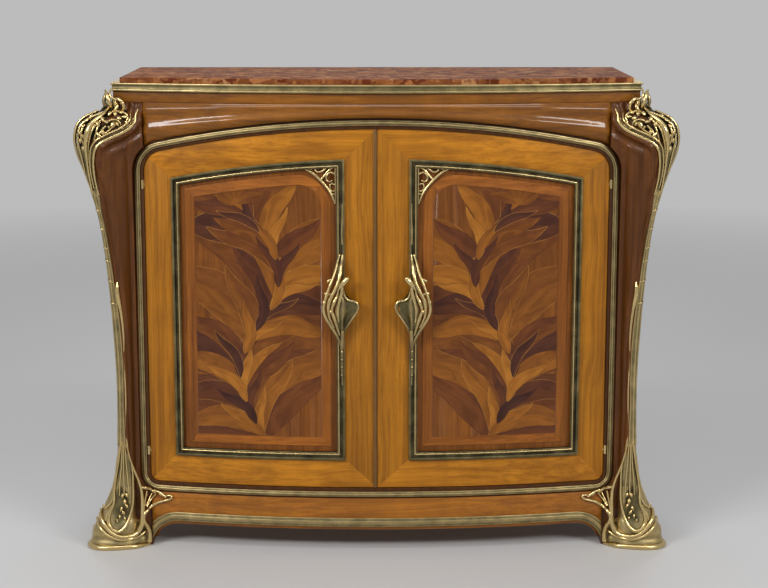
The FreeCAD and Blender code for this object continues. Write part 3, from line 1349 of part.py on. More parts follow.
def bolt_rooms():
    rooms = []
    back_y = bow_y(DOOR_BACK, d.bolt_x)
    for name, upper in (("top", True), ("bottom", False)):
        low, high = bolt_span(upper)
        reach = d.bolt_throw + d.slide_gap
        if upper:
            span = (low - d.slide_gap, high + reach)
            knob_span = (knob_level(True) - d.bolt_knob_radius - d.slide_gap,
                         knob_level(True) + d.bolt_knob_radius + reach)
        else:
            span = (low - reach, high + d.slide_gap)
            knob_span = (knob_level(False) - d.bolt_knob_radius - reach,
                         knob_level(False) + d.bolt_knob_radius + d.slide_gap)
        rooms.append(upright(name + "_bolt_channel", -d.bolt_x, -d.bolt_stand,
                             d.bolt_radius + d.slide_gap, span))
        half = d.bolt_knob_radius + d.slide_gap
        rooms.append(box(name + "_bolt_slot", (-d.bolt_x - half, -d.bolt_x + half),
                         (-d.bolt_stand, back_y + d.overrun), knob_span))
    half_height = d.lock_bolt_height / 2 + d.joint_gap * 4
    y_front, y_back = lock_bolt_y()
    rooms.append(box("lock_strike", (-SEAM - d.lock_bolt_throw - d.joint_gap * 4, ZERO),
                     (y_front - d.joint_gap * 2, y_back + d.joint_gap * 2),
                     (d.lock_level - half_height, d.lock_level + half_height)))
    return fuse("left_stile_rooms", *rooms)


def bolts():
    back_y = bow_y(DOOR_BACK, d.bolt_x)
    for name, upper in (("top", True), ("bottom", False)):
        rod = upright(name + "_bolt_rod", -d.bolt_x, -d.bolt_stand, d.bolt_radius, bolt_span(upper))
        knob = lying(name + "_bolt_knob", -d.bolt_x, knob_level(upper), d.bolt_knob_radius,
                     (-d.bolt_stand, back_y + d.bolt_knob_reach))
        keep("left_door_%s_bolt" % name, fuse(name + "_bolt_whole", rod, knob))


def lock_bolt_y():
    middle = bow_y(DOOR_BACK, d.lock_case_inset) - d.lock_case_depth / 2
    return middle - d.lock_bolt_depth / 2, middle + d.lock_bolt_depth / 2


def lock_spans(gap):
    low_x = SEAM + d.lock_case_inset
    back_y = bow_y(DOOR_BACK, d.lock_case_inset)
    half = d.lock_case_height / 2
    return ((low_x - gap, low_x + d.lock_case_width + gap), (back_y - d.lock_case_depth - gap, back_y),
            (d.lock_level - half - gap, d.lock_level + half + gap))


def bolt_spans(gap, travel):
    start = SEAM + d.lock_bolt_setback
    y_front, y_back = lock_bolt_y()
    half = d.lock_bolt_height / 2
    return ((start - travel, start + d.lock_bolt_length + gap), (y_front - gap, y_back + gap),
            (d.lock_level - half - gap, d.lock_level + half + gap))


def lock_room():
    x_span, y_span, z_span = lock_spans(d.joint_gap)
    pocket = box("lock_pocket", x_span, (y_span[0], y_span[1] + d.overrun), z_span)
    slot = box("lock_bolt_slot", *bolt_spans(d.slide_gap, d.overrun))
    keyway = lying("lock_keyway", d.keyhole_x, d.lock_level, d.keyhole_radius, (ALL_Y[0], y_span[1]))
    return fuse("lock_rooms", pocket, slot, keyway)


def lock():
    case = box("lock_case_block", *lock_spans(ZERO))
    channel = box("lock_bolt_channel", *bolt_spans(d.slide_gap, d.overrun))
    keyway = lying("lock_case_keyway", d.keyhole_x, d.lock_level, d.keyhole_radius,
                   (ALL_Y[0], bow_y(DOOR_BACK, d.lock_case_inset) - d.lock_case_depth / 2))
    keep("right_door_lock_case", cut("lock_case", case, fuse("lock_case_voids", channel, keyway)))
    keep("right_door_lock_bolt", box("lock_bolt_bar", *bolt_spans(ZERO, ZERO)))


def build():
    marble_top()
    cornice_moulding()
    frieze_band()
    door_frame()
    opening_moulding()
    frieze_rail()
    frieze_pillow()
    apron()
    core = front_posts()
    capital(core)
    corner_stem(core)
    sabot(core)
    rear_post()
    sides()
    back()
    inside()
    leaf_rooms = hinges()
    door_members(leaf_rooms)
    door_panel()
    panel_moulding()
    corner_bracket()
    handles()
    meeting_bead()
    bolts()
    lock()


def check():
    doc.recompute()
    for item in doc.Objects:
        if "Invalid" in item.State or "Error" in item.State:
            raise ValueError("%s (%s) failed: %s" % (item.Name, item.Label, item.State))
    for item in sub_parts:
        if item.Shape.isNull() or not item.Shape.isValid() or not item.Shape.Solids:
            raise ValueError("%s has no valid solid" % item.Label)


def write():
    os.makedirs("parts", exist_ok=True)
    for item in sub_parts:
        item.Shape.exportStep("parts/%s.step" % item.Label)
    print("%d sub-parts written" % len(sub_parts))


build()
check()
write()
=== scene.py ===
import json
import math

import bmesh
import bpy
from bpy.props import FloatProperty, FloatVectorProperty, PointerProperty
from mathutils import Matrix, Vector


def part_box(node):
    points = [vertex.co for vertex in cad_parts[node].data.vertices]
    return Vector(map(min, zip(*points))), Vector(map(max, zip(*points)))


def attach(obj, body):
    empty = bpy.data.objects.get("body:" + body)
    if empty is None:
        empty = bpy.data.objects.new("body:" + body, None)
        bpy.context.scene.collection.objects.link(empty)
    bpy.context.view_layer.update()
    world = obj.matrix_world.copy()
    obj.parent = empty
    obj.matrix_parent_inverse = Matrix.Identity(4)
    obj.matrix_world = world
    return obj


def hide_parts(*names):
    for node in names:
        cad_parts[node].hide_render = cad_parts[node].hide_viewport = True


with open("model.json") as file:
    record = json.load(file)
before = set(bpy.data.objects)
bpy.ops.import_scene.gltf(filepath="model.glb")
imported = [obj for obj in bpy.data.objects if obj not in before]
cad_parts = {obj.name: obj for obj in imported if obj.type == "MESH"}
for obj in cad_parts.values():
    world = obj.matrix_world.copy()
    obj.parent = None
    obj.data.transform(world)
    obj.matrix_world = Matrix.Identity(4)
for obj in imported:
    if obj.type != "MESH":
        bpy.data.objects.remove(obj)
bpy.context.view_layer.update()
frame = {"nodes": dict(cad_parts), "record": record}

bl_info = {
    "name": "Bow-fronted cabinet",
    "version": (1, 0, 0),
    "blender": (4, 5, 0),
    "location": "3D view > Sidebar > Cabinet",
    "description": "Dresses the two-door cabinet with its woods, marble, inlay and cast brass mounts",
    "category": "Object",
}

NODES = frame["nodes"]
BODY_OF = {node: body for body, names in frame["record"]["behaviour"]["bodies"].items() for node in names}

# Shapes below are worked out in millimetres and made in metres.
MM = 0.001
BOW_RADIUS = 2300
SIDES = ("right", "left")

# Points closer than this are welded.
WELD = 0.01

# Angles in degrees: faces flatter than FLAT are one face, edges sharper than ROUNDED are rounded, and edges flatter
# than the others are shaded smoothly on boards, castings, posts, the panels' fields and their borders.
FLAT = 0.4
ROUNDED = 40
BOARD_SHADE = 32
CAST_SHADE = 50
POST_SHADE = 45
FIELD_SHADE = 4
BORDER_SHADE = 8


def of_box(node, corner, axis):
    """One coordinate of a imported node's box, in millimetres. Corner 0 is the lowest, 1 the highest."""
    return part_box(node)[corner][axis] / MM


POST_TOP = of_box("right_front_post", 1, 2)
WAIST_X = 603
SHOULDER_SWING = of_box("right_front_post", 1, 0) - WAIST_X
FOOT_SWING = 62
HANDLE_FRONT = of_box("right_door_handle", 0, 1)
DOOR_STAND = 193
FIELD_STAND = 191


def colour(name, description, default):
    return FloatVectorProperty(name=name, description=description, subtype="COLOR", default=default, min=0, max=1)


def length(name, description, default, low, high):
    return FloatProperty(name=name, description=description, unit="LENGTH",
                         default=default * MM, min=low * MM, max=high * MM)


class CabinetColours(bpy.types.PropertyGroup):
    door_wood: colour("Door wood", "Veneer of the doors' stiles and rails", (0.39, 0.150, 0.010))
    post_wood: colour("Post wood", "Polished wood of posts, jambs and sides", (0.095, 0.030, 0.004))
    frieze_wood: colour("Frieze wood", "Polished wood of frieze, band and apron", (0.20, 0.070, 0.005))
    panel_wood: colour("Panel wood", "Ground veneer behind the inlay", (0.17, 0.055, 0.008))
    inner_wood: colour("Inner wood", "Waxed wood of the inside and the back", (0.30, 0.15, 0.07))
    old_brass: colour("Aged brass", "Brass in the hollows", (0.14, 0.115, 0.055))
    bright_brass: colour("Bright brass", "Brass worn bright on the ridges", (0.62, 0.47, 0.215))
    marble: colour("Marble", "Ground colour of the marble", (0.22, 0.070, 0.022))


class CabinetSizes(bpy.types.PropertyGroup):
    stem_ridge: length("Stem ridge", "Radius of the ridges that run down the corner stem", 3.2, 1, 6)
    inlay_lift: length("Inlay lift", "Height of the first inlaid piece over the field", 0.12, 0.05, 0.5)
    moulding_round: length("Moulding rounding", "Rounding of the reeds of the brass mouldings", 1.3, 0.2, 2.5)
    wood_round: length("Wood rounding", "Rounding of the edges of the wood", 0.7, 0.1, 2)


# Curves through points.

def slope(before, here, after):
    if before is here or after is here:
        return 0.0
    left = (here[1] - before[1]) / (here[0] - before[0])
    right = (after[1] - here[1]) / (after[0] - here[0])
    return 0.0 if left * right <= 0 else 2 * left * right / (left + right)


def smooth(table, place):
    """Read a table of (place, value) pairs with a smooth curve through them."""
    for index in range(len(table) - 1):
        low, high = table[index], table[index + 1]
        if place <= high[0]:
            break
    before = table[max(index - 1, 0)]
    after = table[min(index + 2, len(table) - 1)]
    width = high[0] - low[0]
    share = min(max((place - low[0]) / width, 0), 1)
    rise = high[1] - low[1]
    start = slope(before, low, high) * width
    end = slope(low, high, after) * width
    return low[1] + start * share + (3 * rise - 2 * start - end) * share ** 2 + (start + end - 2 * rise) * share ** 3


def spline(points, shares, count):
    """A smooth run of points through points that stand at the given shares."""
    run = []
    last = len(points) - 1
    for step in range(count + 1):
        at = step / count
        index = max(i for i in range(last) if at >= shares[i] or i == 0)
        p0, p1, p2, p3 = (points[min(max(index + k, 0), last)] for k in (-1, 0, 1, 2))
        t0, t1, t2, t3 = (shares[min(max(index + k, 0), last)] for k in (-1, 0, 1, 2))
        m1 = (p2 - p0) / max(t2 - t0, 1e-6) * (t2 - t1)
        m2 = (p3 - p1) / max(t3 - t1, 1e-6) * (t2 - t1)
        s = (at - t1) / (t2 - t1)
        run.append(p1 * (2 * s ** 3 - 3 * s ** 2 + 1) + m1 * (s ** 3 - 2 * s ** 2 + s)
                   + p2 * (3 * s ** 2 - 2 * s ** 3) + m2 * (s ** 3 - s ** 2))
    return run


def bow_y(stand, x):
    """Y of a bowed face, in millimetres."""
    return BOW_RADIUS - stand - math.sqrt(BOW_RADIUS ** 2 - x ** 2)


def on_bow(stand, x, z, out=0.0):
    """A point on a bowed face, or that far in front of it."""
    return Vector((x, bow_y(stand, x) - out, z))


def hump(distance, width):
    return math.exp(-(distance / width) ** 2)


# Making meshes.

def select_only(*pieces):
    bpy.ops.object.select_all(action="DESELECT")
    for piece in pieces:
        piece.select_set(True)
    bpy.context.view_layer.objects.active = pieces[0]


def shaded(piece, degrees):
    """Shade a piece smoothly over edges flatter than an angle."""
    select_only(piece)
    bpy.ops.object.shade_smooth_by_angle(angle=math.radians(degrees))
    return piece


def edit_all(*steps):
    """Run mesh operators on all of the active piece's mesh."""
    bpy.ops.object.mode_set(mode="EDIT")
    bpy.ops.mesh.select_all(action="SELECT")
    for step, settings in steps:
        step(**settings)
    bpy.ops.object.mode_set(mode="OBJECT")


def new_object(name, data):
    piece = bpy.data.objects.new(name, data)
    bpy.context.scene.collection.objects.link(piece)
    return piece


def from_bmesh(name, made):
    mesh = bpy.data.meshes.new(name)
    made.to_mesh(mesh)
    made.free()
    return new_object(name, mesh)


def tinted(piece, shine):
    """Note on each vertex how brightly worn the brass is there, or, below zero, how far it is painted towards shade: a
    number or a function of the place.
    """
    attribute = piece.data.attributes.new("shine", "FLOAT", "POINT")
    for vertex in piece.data.vertices:
        attribute.data[vertex.index].value = shine(vertex.co / MM) if callable(shine) else shine
    return piece


def lofted(made, rings):
    """Faces between rings of points in millimetres. Gives the rings' vertices and each face with its place."""
    rows = [[made.verts.new(point * MM) for point in ring] for ring in rings]
    faces = []
    for row, (low, high) in enumerate(zip(rows, rows[1:])):
        for index in range(len(low)):
            after = (index + 1) % len(low)
            faces.append((made.faces.new((low[index], low[after], high[after], high[index])), row, index))
    return rows, faces


def ruled(name, rings):
    """A closed mesh through rings of points in millimetres, its ends filled."""
    made = bmesh.new()
    rows, _ = lofted(made, rings)
    made.faces.new(rows[0])
    made.faces.new(rows[-1])
    bmesh.ops.recalc_face_normals(made, faces=made.faces)
    return shaded(from_bmesh(name, made), CAST_SHADE)


def strands(name, runs, sides, shine):
    """Smooth tapering rods. Each run is a list of (point in millimetres, radius in millimetres)."""
    curve = bpy.data.curves.new(name, "CURVE")
    curve.dimensions = "3D"
    curve.bevel_depth = MM
    curve.bevel_resolution = sides
    curve.resolution_u = 7
    curve.use_fill_caps = True
    for run in runs:
        line = curve.splines.new("BEZIER")
        line.bezier_points.add(len(run) - 1)
        for knot, (point, radius) in zip(line.bezier_points, run):
            knot.co = point * MM
            knot.radius = radius
            knot.handle_left_type = knot.handle_right_type = "AUTO"
        line.use_cyclic_u = (run[0][0] - run[-1][0]).length < 0.01 and len(run) > 3
    select_only(new_object(name, curve))
    bpy.ops.object.convert(target="MESH")
    bpy.ops.object.shade_smooth()
    return tinted(bpy.context.view_layer.objects.active, shine)


def joined(name, *pieces):
    select_only(*pieces)
    bpy.ops.object.join()
    piece = bpy.context.view_layer.objects.active
    piece.name = piece.data.name = name
    return piece


def cut_away(piece, tool):
    select_only(piece)
    hole = piece.modifiers.new("Cut", "BOOLEAN")
    hole.operation = "DIFFERENCE"
    hole.object = tool
    bpy.ops.object.modifier_apply(modifier="Cut")
    bpy.data.objects.remove(tool)


def duplicated(piece, name):
    select_only(piece)
    bpy.ops.object.duplicate()
    twin = bpy.context.view_layer.objects.active
    twin.name = twin.data.name = name
    return twin


def mirrored(piece, name):
    """The same piece on the other side of the cabinet, with a mesh of its own."""
    twin = duplicated(piece, name)
    twin.scale.x = -1
    bpy.ops.object.transform_apply(location=False, rotation=False, scale=True)
    edit_all((bpy.ops.mesh.flip_normals, {}))
    return twin


# Dressing pieces: their material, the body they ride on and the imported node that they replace.

def dress(piece, finish, body):
    """Set a piece's body, and its one material unless it brings its own."""
    if finish:
        piece.data.materials.clear()
        piece.data.materials.append(bpy.data.materials[finish])
    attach(piece, body)


def stand_in(piece, finish, node):
    """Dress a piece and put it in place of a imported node."""
    dress(piece, finish, BODY_OF[node])
    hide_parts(node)
    return piece


def finish_pair(right, name, finish):
    """Put a right-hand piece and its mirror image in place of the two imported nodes."""
    left = mirrored(right, "left_" + name + "_cast")
    stand_in(right, finish, "right_" + name)
    stand_in(left, finish, "left_" + name)


def add_pair(right, name, finish):
    """Let a right-hand piece and its mirror image ride on the doors. They replace nothing."""
    left = mirrored(right, "left_door_" + name)
    dress(right, finish, "right_door")
    dress(left, finish, "left_door")


def skin(node, finish, rounding=0.0):
    """Stand a merged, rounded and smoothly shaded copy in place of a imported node."""
    copy = duplicated(NODES[node], node + "_skin")
    for key in [key for key in copy.keys() if key.startswith("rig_")]:
        del copy[key]
    copy.parent = None
    edit_all((bpy.ops.mesh.remove_doubles, {"threshold": WELD * MM}),
             (bpy.ops.mesh.dissolve_limited, {"angle_limit": math.radians(FLAT)}))
    if rounding:
        bevel = copy.modifiers.new("Rounding", "BEVEL")
        bevel.width = rounding
        bevel.segments = 3
        bevel.limit_method = "ANGLE"
        bevel.angle_limit = math.radians(ROUNDED)
        bevel.use_clamp_overlap = True
        bpy.ops.object.modifier_apply(modifier="Rounding")
    return stand_in(shaded(copy, BOARD_SHADE), finish, node)


# Node trees.

class Tree:
    """Adds nodes to a material or a node group and links them by socket."""

    def __init__(self, tree):
        self.tree = tree

    def feed(self, node, **inputs):
        """Link or set inputs, each named by its label with _ for a space, or by its number as i0."""
        for key, value in inputs.items():
            socket = node.inputs[int(key[1:]) if key[0] == "i" and key[1:].isdigit() else key.replace("_", " ")]
            if isinstance(value, bpy.types.NodeSocket):
                self.tree.links.new(value, socket)
            else:
                socket.default_value = value
        return node

    def add(self, kind, settings=None, **inputs):
        node = self.tree.nodes.new("ShaderNode" + kind)
        count = len(self.tree.nodes)
        node.location = (count * 190, -180 * (count % 5))
        for key, value in (settings or {}).items():
            setattr(node, key, value)
        return self.feed(node, **inputs)

    def maths(self, operation, first, second=0.0):
        return self.add("Math", {"operation": operation}, i0=first, i1=second).outputs[0]

    def mix(self, factor, first, second, blend="MIX"):
        return self.add("Mix", {"data_type": "RGBA", "blend_type": blend}, i0=factor, i6=first, i7=second).outputs[2]

    def spread(self, value, low, high, to_low=0.0, to_high=1.0):
        return self.add("MapRange", Value=value, i1=low, i2=high, i3=to_low, i4=to_high).outputs[0]

    def noise(self, vector, scale, detail=4.0, rough=0.55, distortion=0.0):
        return self.add("TexNoise", Vector=vector, Scale=scale, Detail=detail, Roughness=rough,
                        Distortion=distortion).outputs["Fac"]

    def stretched(self, vector, scale, turn=(0, 0, 0)):
        return self.add("Mapping", Vector=vector, Scale=scale, Rotation=turn).outputs[0]

    def shifted(self, vector, change, amount):
        return self.add("VectorMath", {"operation": "MULTIPLY_ADD"}, i0=change, i1=amount, i2=vector).outputs[0]

    def split(self, colour_):
        return self.add("SeparateColor", Color=colour_).outputs

    def bump(self, shader, height, strength, distance):
        self.feed(shader, Normal=self.add("Bump", Height=height, Strength=strength, Distance=distance).outputs[0])

    def seen(self):
        """1 for the rays that show the surroundings: camera, glossy and transmission rays."""
        path = self.add("LightPath").outputs
        glossy = self.maths("MAXIMUM", path["Is Camera Ray"], path["Is Glossy Ray"])
        return self.maths("MAXIMUM", glossy, path["Is Transmission Ray"])


def group(name, inputs, outputs):
    tree = bpy.data.node_groups.new(name, "ShaderNodeTree")
    for kind, label, default in inputs:
        socket = tree.interface.new_socket(label, in_out="INPUT", socket_type="NodeSocket" + kind)
        if default is not None:
            socket.default_value = default
    for kind, label in outputs:
        tree.interface.new_socket(label, in_out="OUTPUT", socket_type="NodeSocket" + kind)
    return Tree(tree), tree.nodes.new("NodeGroupInput").outputs, tree.nodes.new("NodeGroupOutput")


def wood_grain_group():
    """Long fibres, darker pores and broad figure, along the vector's Z."""
    make, given, result = group("Wood grain", (
        ("Vector", "Vector", None), ("Color", "Base", (0.5, 0.2, 0.05, 1)), ("Float", "Figure", 0.5),
        ("Float", "Stripe", 0.5)), (("Color", "Color"), ("Float", "Height")))
    place, base = given["Vector"], given["Base"]
    sway = make.noise(make.stretched(place, (3, 3, 1.2)), 1.6, 2)
    warp = make.shifted(place, make.add("CombineXYZ", X=sway, Y=sway, Z=0.0).outputs[0], (0.05, 0.05, 0))
    stripes, fibres, pores, streaks = [
        make.noise(make.stretched(warp, (across, across, along)), 1.0, detail, rough)
        for across, along, detail, rough in (
            (60, 1.1, 5, 0.6), (420, 9, 3, 0.6), (900, 22, 2, 0.5), (190, 2.2, 3, 0.6))]
    figure = make.noise(make.stretched(place, (5, 5, 9)), 1.0, 4, 0.55, 0.6)
    dark = make.mix(1.0, base, (0.40, 0.29, 0.22, 1), "MULTIPLY")
    light = make.mix(1.0, base, (1.42, 1.42, 1.2, 1), "MULTIPLY")
    tone = make.maths("ADD", make.maths("MULTIPLY", make.spread(stripes, 0.36, 0.68), given["Stripe"]),
                      make.maths("MULTIPLY", make.spread(figure, 0.35, 0.7), given["Figure"]))
    tint = make.mix(make.spread(tone, 0.0, 0.9), light, base)
    for source, low, high, share in ((stripes, 0.5, 0.78, 0.55), (streaks, 0.42, 0.66, 0.42), (pores, 0.58, 0.72, 0.4)):
        tint = make.mix(make.spread(source, low, high, 0.0, share), tint, dark)
    height = make.maths("SUBTRACT", make.maths("MULTIPLY", fibres, 0.4), make.spread(pores, 0.6, 0.72))
    make.feed(result, Color=tint, Height=height)


def worn_brass_and_light_group():
    """Olive in the hollows, bright where hands and dusters reach. Edges are brightened as worn brass and as a painted
    highlight, hollows darkened by patina and by painted shade from an occlusion mask, and low levels painted near black
    as shade.
    """
    make, given, result = group("Worn brass and painted light", (
        ("Vector", "Vector", None), ("Color", "Old", (0.1, 0.1, 0.05, 1)), ("Color", "Bright", (0.7, 0.5, 0.2, 1)),
        ("Float", "Shine", 0.5)), (("Color", "Color"), ("Float", "Roughness"), ("Float", "Height")))
    cloud = make.noise(given["Vector"], 35, 4)
    grit = make.noise(given["Vector"], 420, 3)
    # Edges and reeds are brightened by their sharpness: worn brass, and a painted highlight for the reflections along
    # them.
    edge = make.add("NewGeometry").outputs["Pointiness"]
    # Painted shade: an occlusion mask darkens the brass in its hollows, as patina would and further, towards the
    # near-black shade colour.
    occlusion_shade = make.add("AmbientOcclusion", {"samples": 4, "only_local": True}, Distance=0.012).outputs["AO"]
    level = make.maths("MULTIPLY", given["Shine"], 0.9)
    for source, low, high, least, most in ((edge, 0.49, 0.56, 0.0, 0.5), (occlusion_shade, 0.35, 0.9, -0.55, 0.1),
                                           (cloud, 0.3, 0.7, -0.25, 0.2), (grit, 0.3, 0.7, -0.06, 0.06)):
        level = make.maths("ADD", level, make.spread(source, low, high, least, most))
    tint = make.mix(make.spread(level, 0.0, 1.0), given["Old"], given["Bright"])
    # Low levels are mixed towards near black: painted shade in hollows and in the openwork's holes.
    make.feed(result, Color=make.mix(make.spread(level, -0.05, -0.6), tint, (0.022, 0.018, 0.010, 1)),
              Roughness=make.spread(level, 0.0, 1.0, 0.46, 0.24),
              Height=make.maths("ADD", make.maths("MULTIPLY", cloud, 0.6), make.maths("MULTIPLY", grit, 0.2)))


def rgba(tint, gain=1.0):
    return tuple(channel * gain for channel in tint) + (1.0,)


def start_material(name):
    material = bpy.data.materials.new(name)
    material.use_nodes = True
    make = Tree(material.node_tree)
    return material, make, material.node_tree.nodes["Principled BSDF"], make.add("TexCoord").outputs["Object"]


def wood(name, base, turn=(0, 0, 0), figure=0.5, stripe=0.6, gloss=0.38, coat=0.14):
    _, make, shader, place = start_material(name)
    grain = make.add("Group", {"node_tree": bpy.data.node_groups["Wood grain"]},
                     Vector=make.stretched(place, (1, 1, 1), turn), Base=rgba(base), Figure=figure, Stripe=stripe)
    make.feed(shader, Base_Color=grain.outputs["Color"], Coat_Weight=coat, Coat_Roughness=0.07,
              Roughness=make.spread(make.noise(place, 9, 3), 0.3, 0.7, gloss, gloss + 0.12), Specular_IOR_Level=0.14)
    make.bump(shader, grain.outputs["Height"], 0.12, 0.0004)


def brass(name, old, bright, shine=None):
    """Worn brass, with a painted highlight on its edges and painted shade in its hollows. Without a number for its
    shine, it is read from the piece's own attribute.
    """
    _, make, shader, place = start_material(name)
    level = make.add("Attribute", {"attribute_name": "shine"}).outputs["Fac"] if shine is None else shine
    worn_and_lit = make.add("Group", {"node_tree": bpy.data.node_groups["Worn brass and painted light"]}, Vector=place, Old=rgba(old),
                    Bright=rgba(bright), Shine=level).outputs
    make.feed(shader, Base_Color=worn_and_lit["Color"], Roughness=worn_and_lit["Roughness"], Metallic=1.0)
    make.bump(shader, worn_and_lit["Height"], 0.25, 0.0006)


def steel():
    _, make, shader, place = start_material("Lock steel")
    scratches = make.noise(make.stretched(place, (900, 900, 60)), 1.0, 3)
    tint = make.mix(make.spread(scratches, 0.3, 0.7), (0.20, 0.20, 0.21, 1), (0.42, 0.41, 0.40, 1))
    make.feed(shader, Base_Color=tint, Roughness=make.spread(scratches, 0.3, 0.7, 0.3, 0.5), Metallic=1.0)


def marble(base):
    """Rosy breccia: broken pieces in a darker bed, with pale and rusty fragments."""
    _, make, shader, place = start_material("Breccia marble")
    bend = make.add("TexNoise", Vector=place, Scale=22.0, Detail=4.0).outputs["Color"]
    bent = make.shifted(place, bend, (0.035, 0.035, 0.035))
    pieces = make.split(make.add("TexVoronoi", {"feature": "F1"}, Vector=bent, Scale=38.0).outputs["Color"])
    rim = make.add("TexVoronoi", {"feature": "DISTANCE_TO_EDGE"}, Vector=bent, Scale=38.0).outputs[0]
    chips = make.split(make.add("TexVoronoi", {"feature": "F1"}, Vector=bent, Scale=120.0).outputs["Color"])
    tint = make.mix(make.spread(make.noise(place, 14, 5), 0.35, 0.65), rgba(base, 0.7), rgba(base, 1.2))
    for source, low, high, share, stone in (
            (pieces[0], 0.5, 0.72, 1.0, (0.36, 0.135, 0.045)), (pieces[1], 0.76, 0.9, 1.0, (0.40, 0.19, 0.08)),
            (pieces[2], 0.6, 0.76, 1.0, (0.12, 0.028, 0.010)), (chips[0], 0.68, 0.84, 0.6, (0.36, 0.15, 0.055)),
            (chips[1], 0.7, 0.86, 0.6, (0.12, 0.028, 0.012))):
        tint = make.mix(make.spread(source, low, high, 0.0, share), tint, rgba(stone))
    tint = make.mix(make.spread(rim, 0.0, 0.05, 0.7, 0.0), tint, (0.15, 0.045, 0.018, 1))
    make.feed(shader, Base_Color=tint, Roughness=0.5, Specular_IOR_Level=0.02)


# The woods of the inlay, from dark to pale, at their places on the tone's scale.
VENEERS = (
    (0.0, (0.04, 0.013, 0.009)), (0.15, (0.07, 0.022, 0.011)), (0.35, (0.12, 0.036, 0.010)),
    (0.55, (0.18, 0.060, 0.009)), (0.75, (0.27, 0.096, 0.011)), (0.94, (0.36, 0.140, 0.018)),
    (1.0, (0.46, 0.22, 0.045)),
)


def inlay_material():
    """Inlaid veneers. The tone attribute picks the wood, the UV map runs along each piece."""
    _, make, shader, _ = start_material("Inlaid veneers")
    tone = make.split(make.add("Attribute", {"attribute_name": "tone"}).outputs["Color"])[0]
    along = make.add("UVMap", {"uv_map": "grain"}).outputs[0]
    fibres = make.noise(make.stretched(along, (260, 9, 1)), 1.0, 4, 0.6)
    figure = make.noise(make.stretched(along, (40, 14, 1)), 1.0, 4, 0.55, 0.8)
    ramp = make.add("ValToRGB", Fac=tone)
    stops = ramp.color_ramp.elements
    while len(stops) < len(VENEERS):
        stops.new(0.5)
    for stop, (at, tint) in zip(stops, VENEERS):
        stop.position = at
        stop.color = rgba(tint)
    veneer_wood = ramp.outputs[0]
    dark = make.mix(1.0, veneer_wood, (0.5, 0.4, 0.35, 1), "MULTIPLY")
    light = make.mix(1.0, veneer_wood, (1.3, 1.3, 1.25, 1), "MULTIPLY")
    tint = make.mix(0.45, make.mix(make.spread(figure, 0.35, 0.65), dark, light), veneer_wood)
    make.feed(shader, Base_Color=make.mix(make.spread(fibres, 0.5, 0.75, 0.0, 0.35), tint, dark), Roughness=0.4,
              Specular_IOR_Level=0.14, Coat_Weight=0.14, Coat_Roughness=0.08)


# The front post's face, in section at each height: the corner is the fourth point.

WAIST = ((535, 127), (562.3, 131), (586.4, 150), (603, 143), (603, 106.5), (600, 70))
SHOULDER_SHARES = ((0, 0.28), (0, 0.3), (0.5, 0.46), (1, 0.36), (0.6, 0.12), (0, 0))
FOOT_SHARES = ((0, 0.12), (0, 0.16), (0.3, 0.2), (1, 0.1), (0.68, 0), (0, 0))
SHOULDER_TABLE = (
    (0, 0), (0.38, 0), (0.48, 0.05), (0.56, 0.11), (0.61, 0.16), (0.69, 0.27), (0.74, 0.37), (0.777, 0.48),
    (0.819, 0.63), (0.85, 0.76), (0.874, 0.87), (0.9, 0.97), (0.922, 1), (0.94, 0.97), (0.958, 0.84), (0.971, 0.62),
    (0.982, 0.3), (1, 0.02),
)
FOOT_TABLE = (
    (0, 1), (0.017, 0.98), (0.057, 0.76), (0.08, 0.56), (0.111, 0.32), (0.134, 0.18), (0.166, 0.09), (0.207, 0.06),
    (0.256, 0.02), (0.31, 0), (1, 0),
)
HEAD_TABLE = ((0, 0), (0.86, 0), (0.9, 0.3), (0.95, 0.9), (1, 1))
HEAD_FORWARD = 17
FACE_SHARES = (0, 0.15, 0.38, 0.55, 0.75, 1)
FACE_STEPS = 160
CORNER = 3

# The door frame's outline as the posts and the frieze meet it, and the bow behind it.
FRAME_HALF = 562.4
FRAME_CROWN = 1024.5
FRAME_FOOT = 132.7
FRAME_TOP_CORNER = 74
FRAME_LOW_CORNER = 46
FRAME_BACK_STAND = 170.4


def post_points(z):
    share = min(max(z / POST_TOP, 0), 1)
    swing = smooth(SHOULDER_TABLE, share) * SHOULDER_SWING
    foot = smooth(FOOT_TABLE, share) * FOOT_SWING
    points = []
    for index, (x, y) in enumerate(WAIST):
        px = x + SHOULDER_SHARES[index][0] * swing + FOOT_SHARES[index][0] * foot
        py = y + SHOULDER_SHARES[index][1] * swing + FOOT_SHARES[index][1] * foot
        if index < 2:
            py += smooth(HEAD_TABLE, share) * HEAD_FORWARD
        points.append(Vector((px, -py, z)))
    return points


face_cache = {}


def face(z):
    """A fine run of points round the face at a height, and the index of the corner in it."""
    key = round(z, 1)
    if key not in face_cache:
        points = post_points(key)
        run = spline(points, FACE_SHARES, FACE_STEPS)
        corner = min(range(len(run)), key=lambda i: (run[i] - points[CORNER]).length)
        face_cache[key] = (run, corner)
    return face_cache[key]


def outwards(run, index):
    """Which way the face looks at one of its points."""
    tangent = run[min(index + 2, len(run) - 1)] - run[max(index - 2, 0)]
    return Vector((tangent.y, -tangent.x, 0)).normalized()


def on_post(z, reach, lift):
    """A place on the post: its height, how far round from the corner (front is minus) and how far off the wood."""
    run, index = face(z)
    step = 1 if reach > 0 else -1
    left = abs(reach)
    while left > 0 and 0 < index + step < len(run) - 1:
        gap = (run[index + step] - run[index]).length
        if gap > left:
            break
        left -= gap
        index += step
    ahead = run[min(max(index + step, 0), len(run) - 1)]
    here = run[index].lerp(ahead, min(left / max((ahead - run[index]).length, 1e-6), 1))
    here = here + outwards(run, index) * lift
    here.z = z
    return here


def front_reach(z, x):
    """How far it is round the face from the corner to the place where the front stands at x."""
    run, index = face(z)
    reach = 0.0
    while index > 1 and run[index].x > x:
        reach += (run[index] - run[index - 1]).length
        index -= 1
    return reach


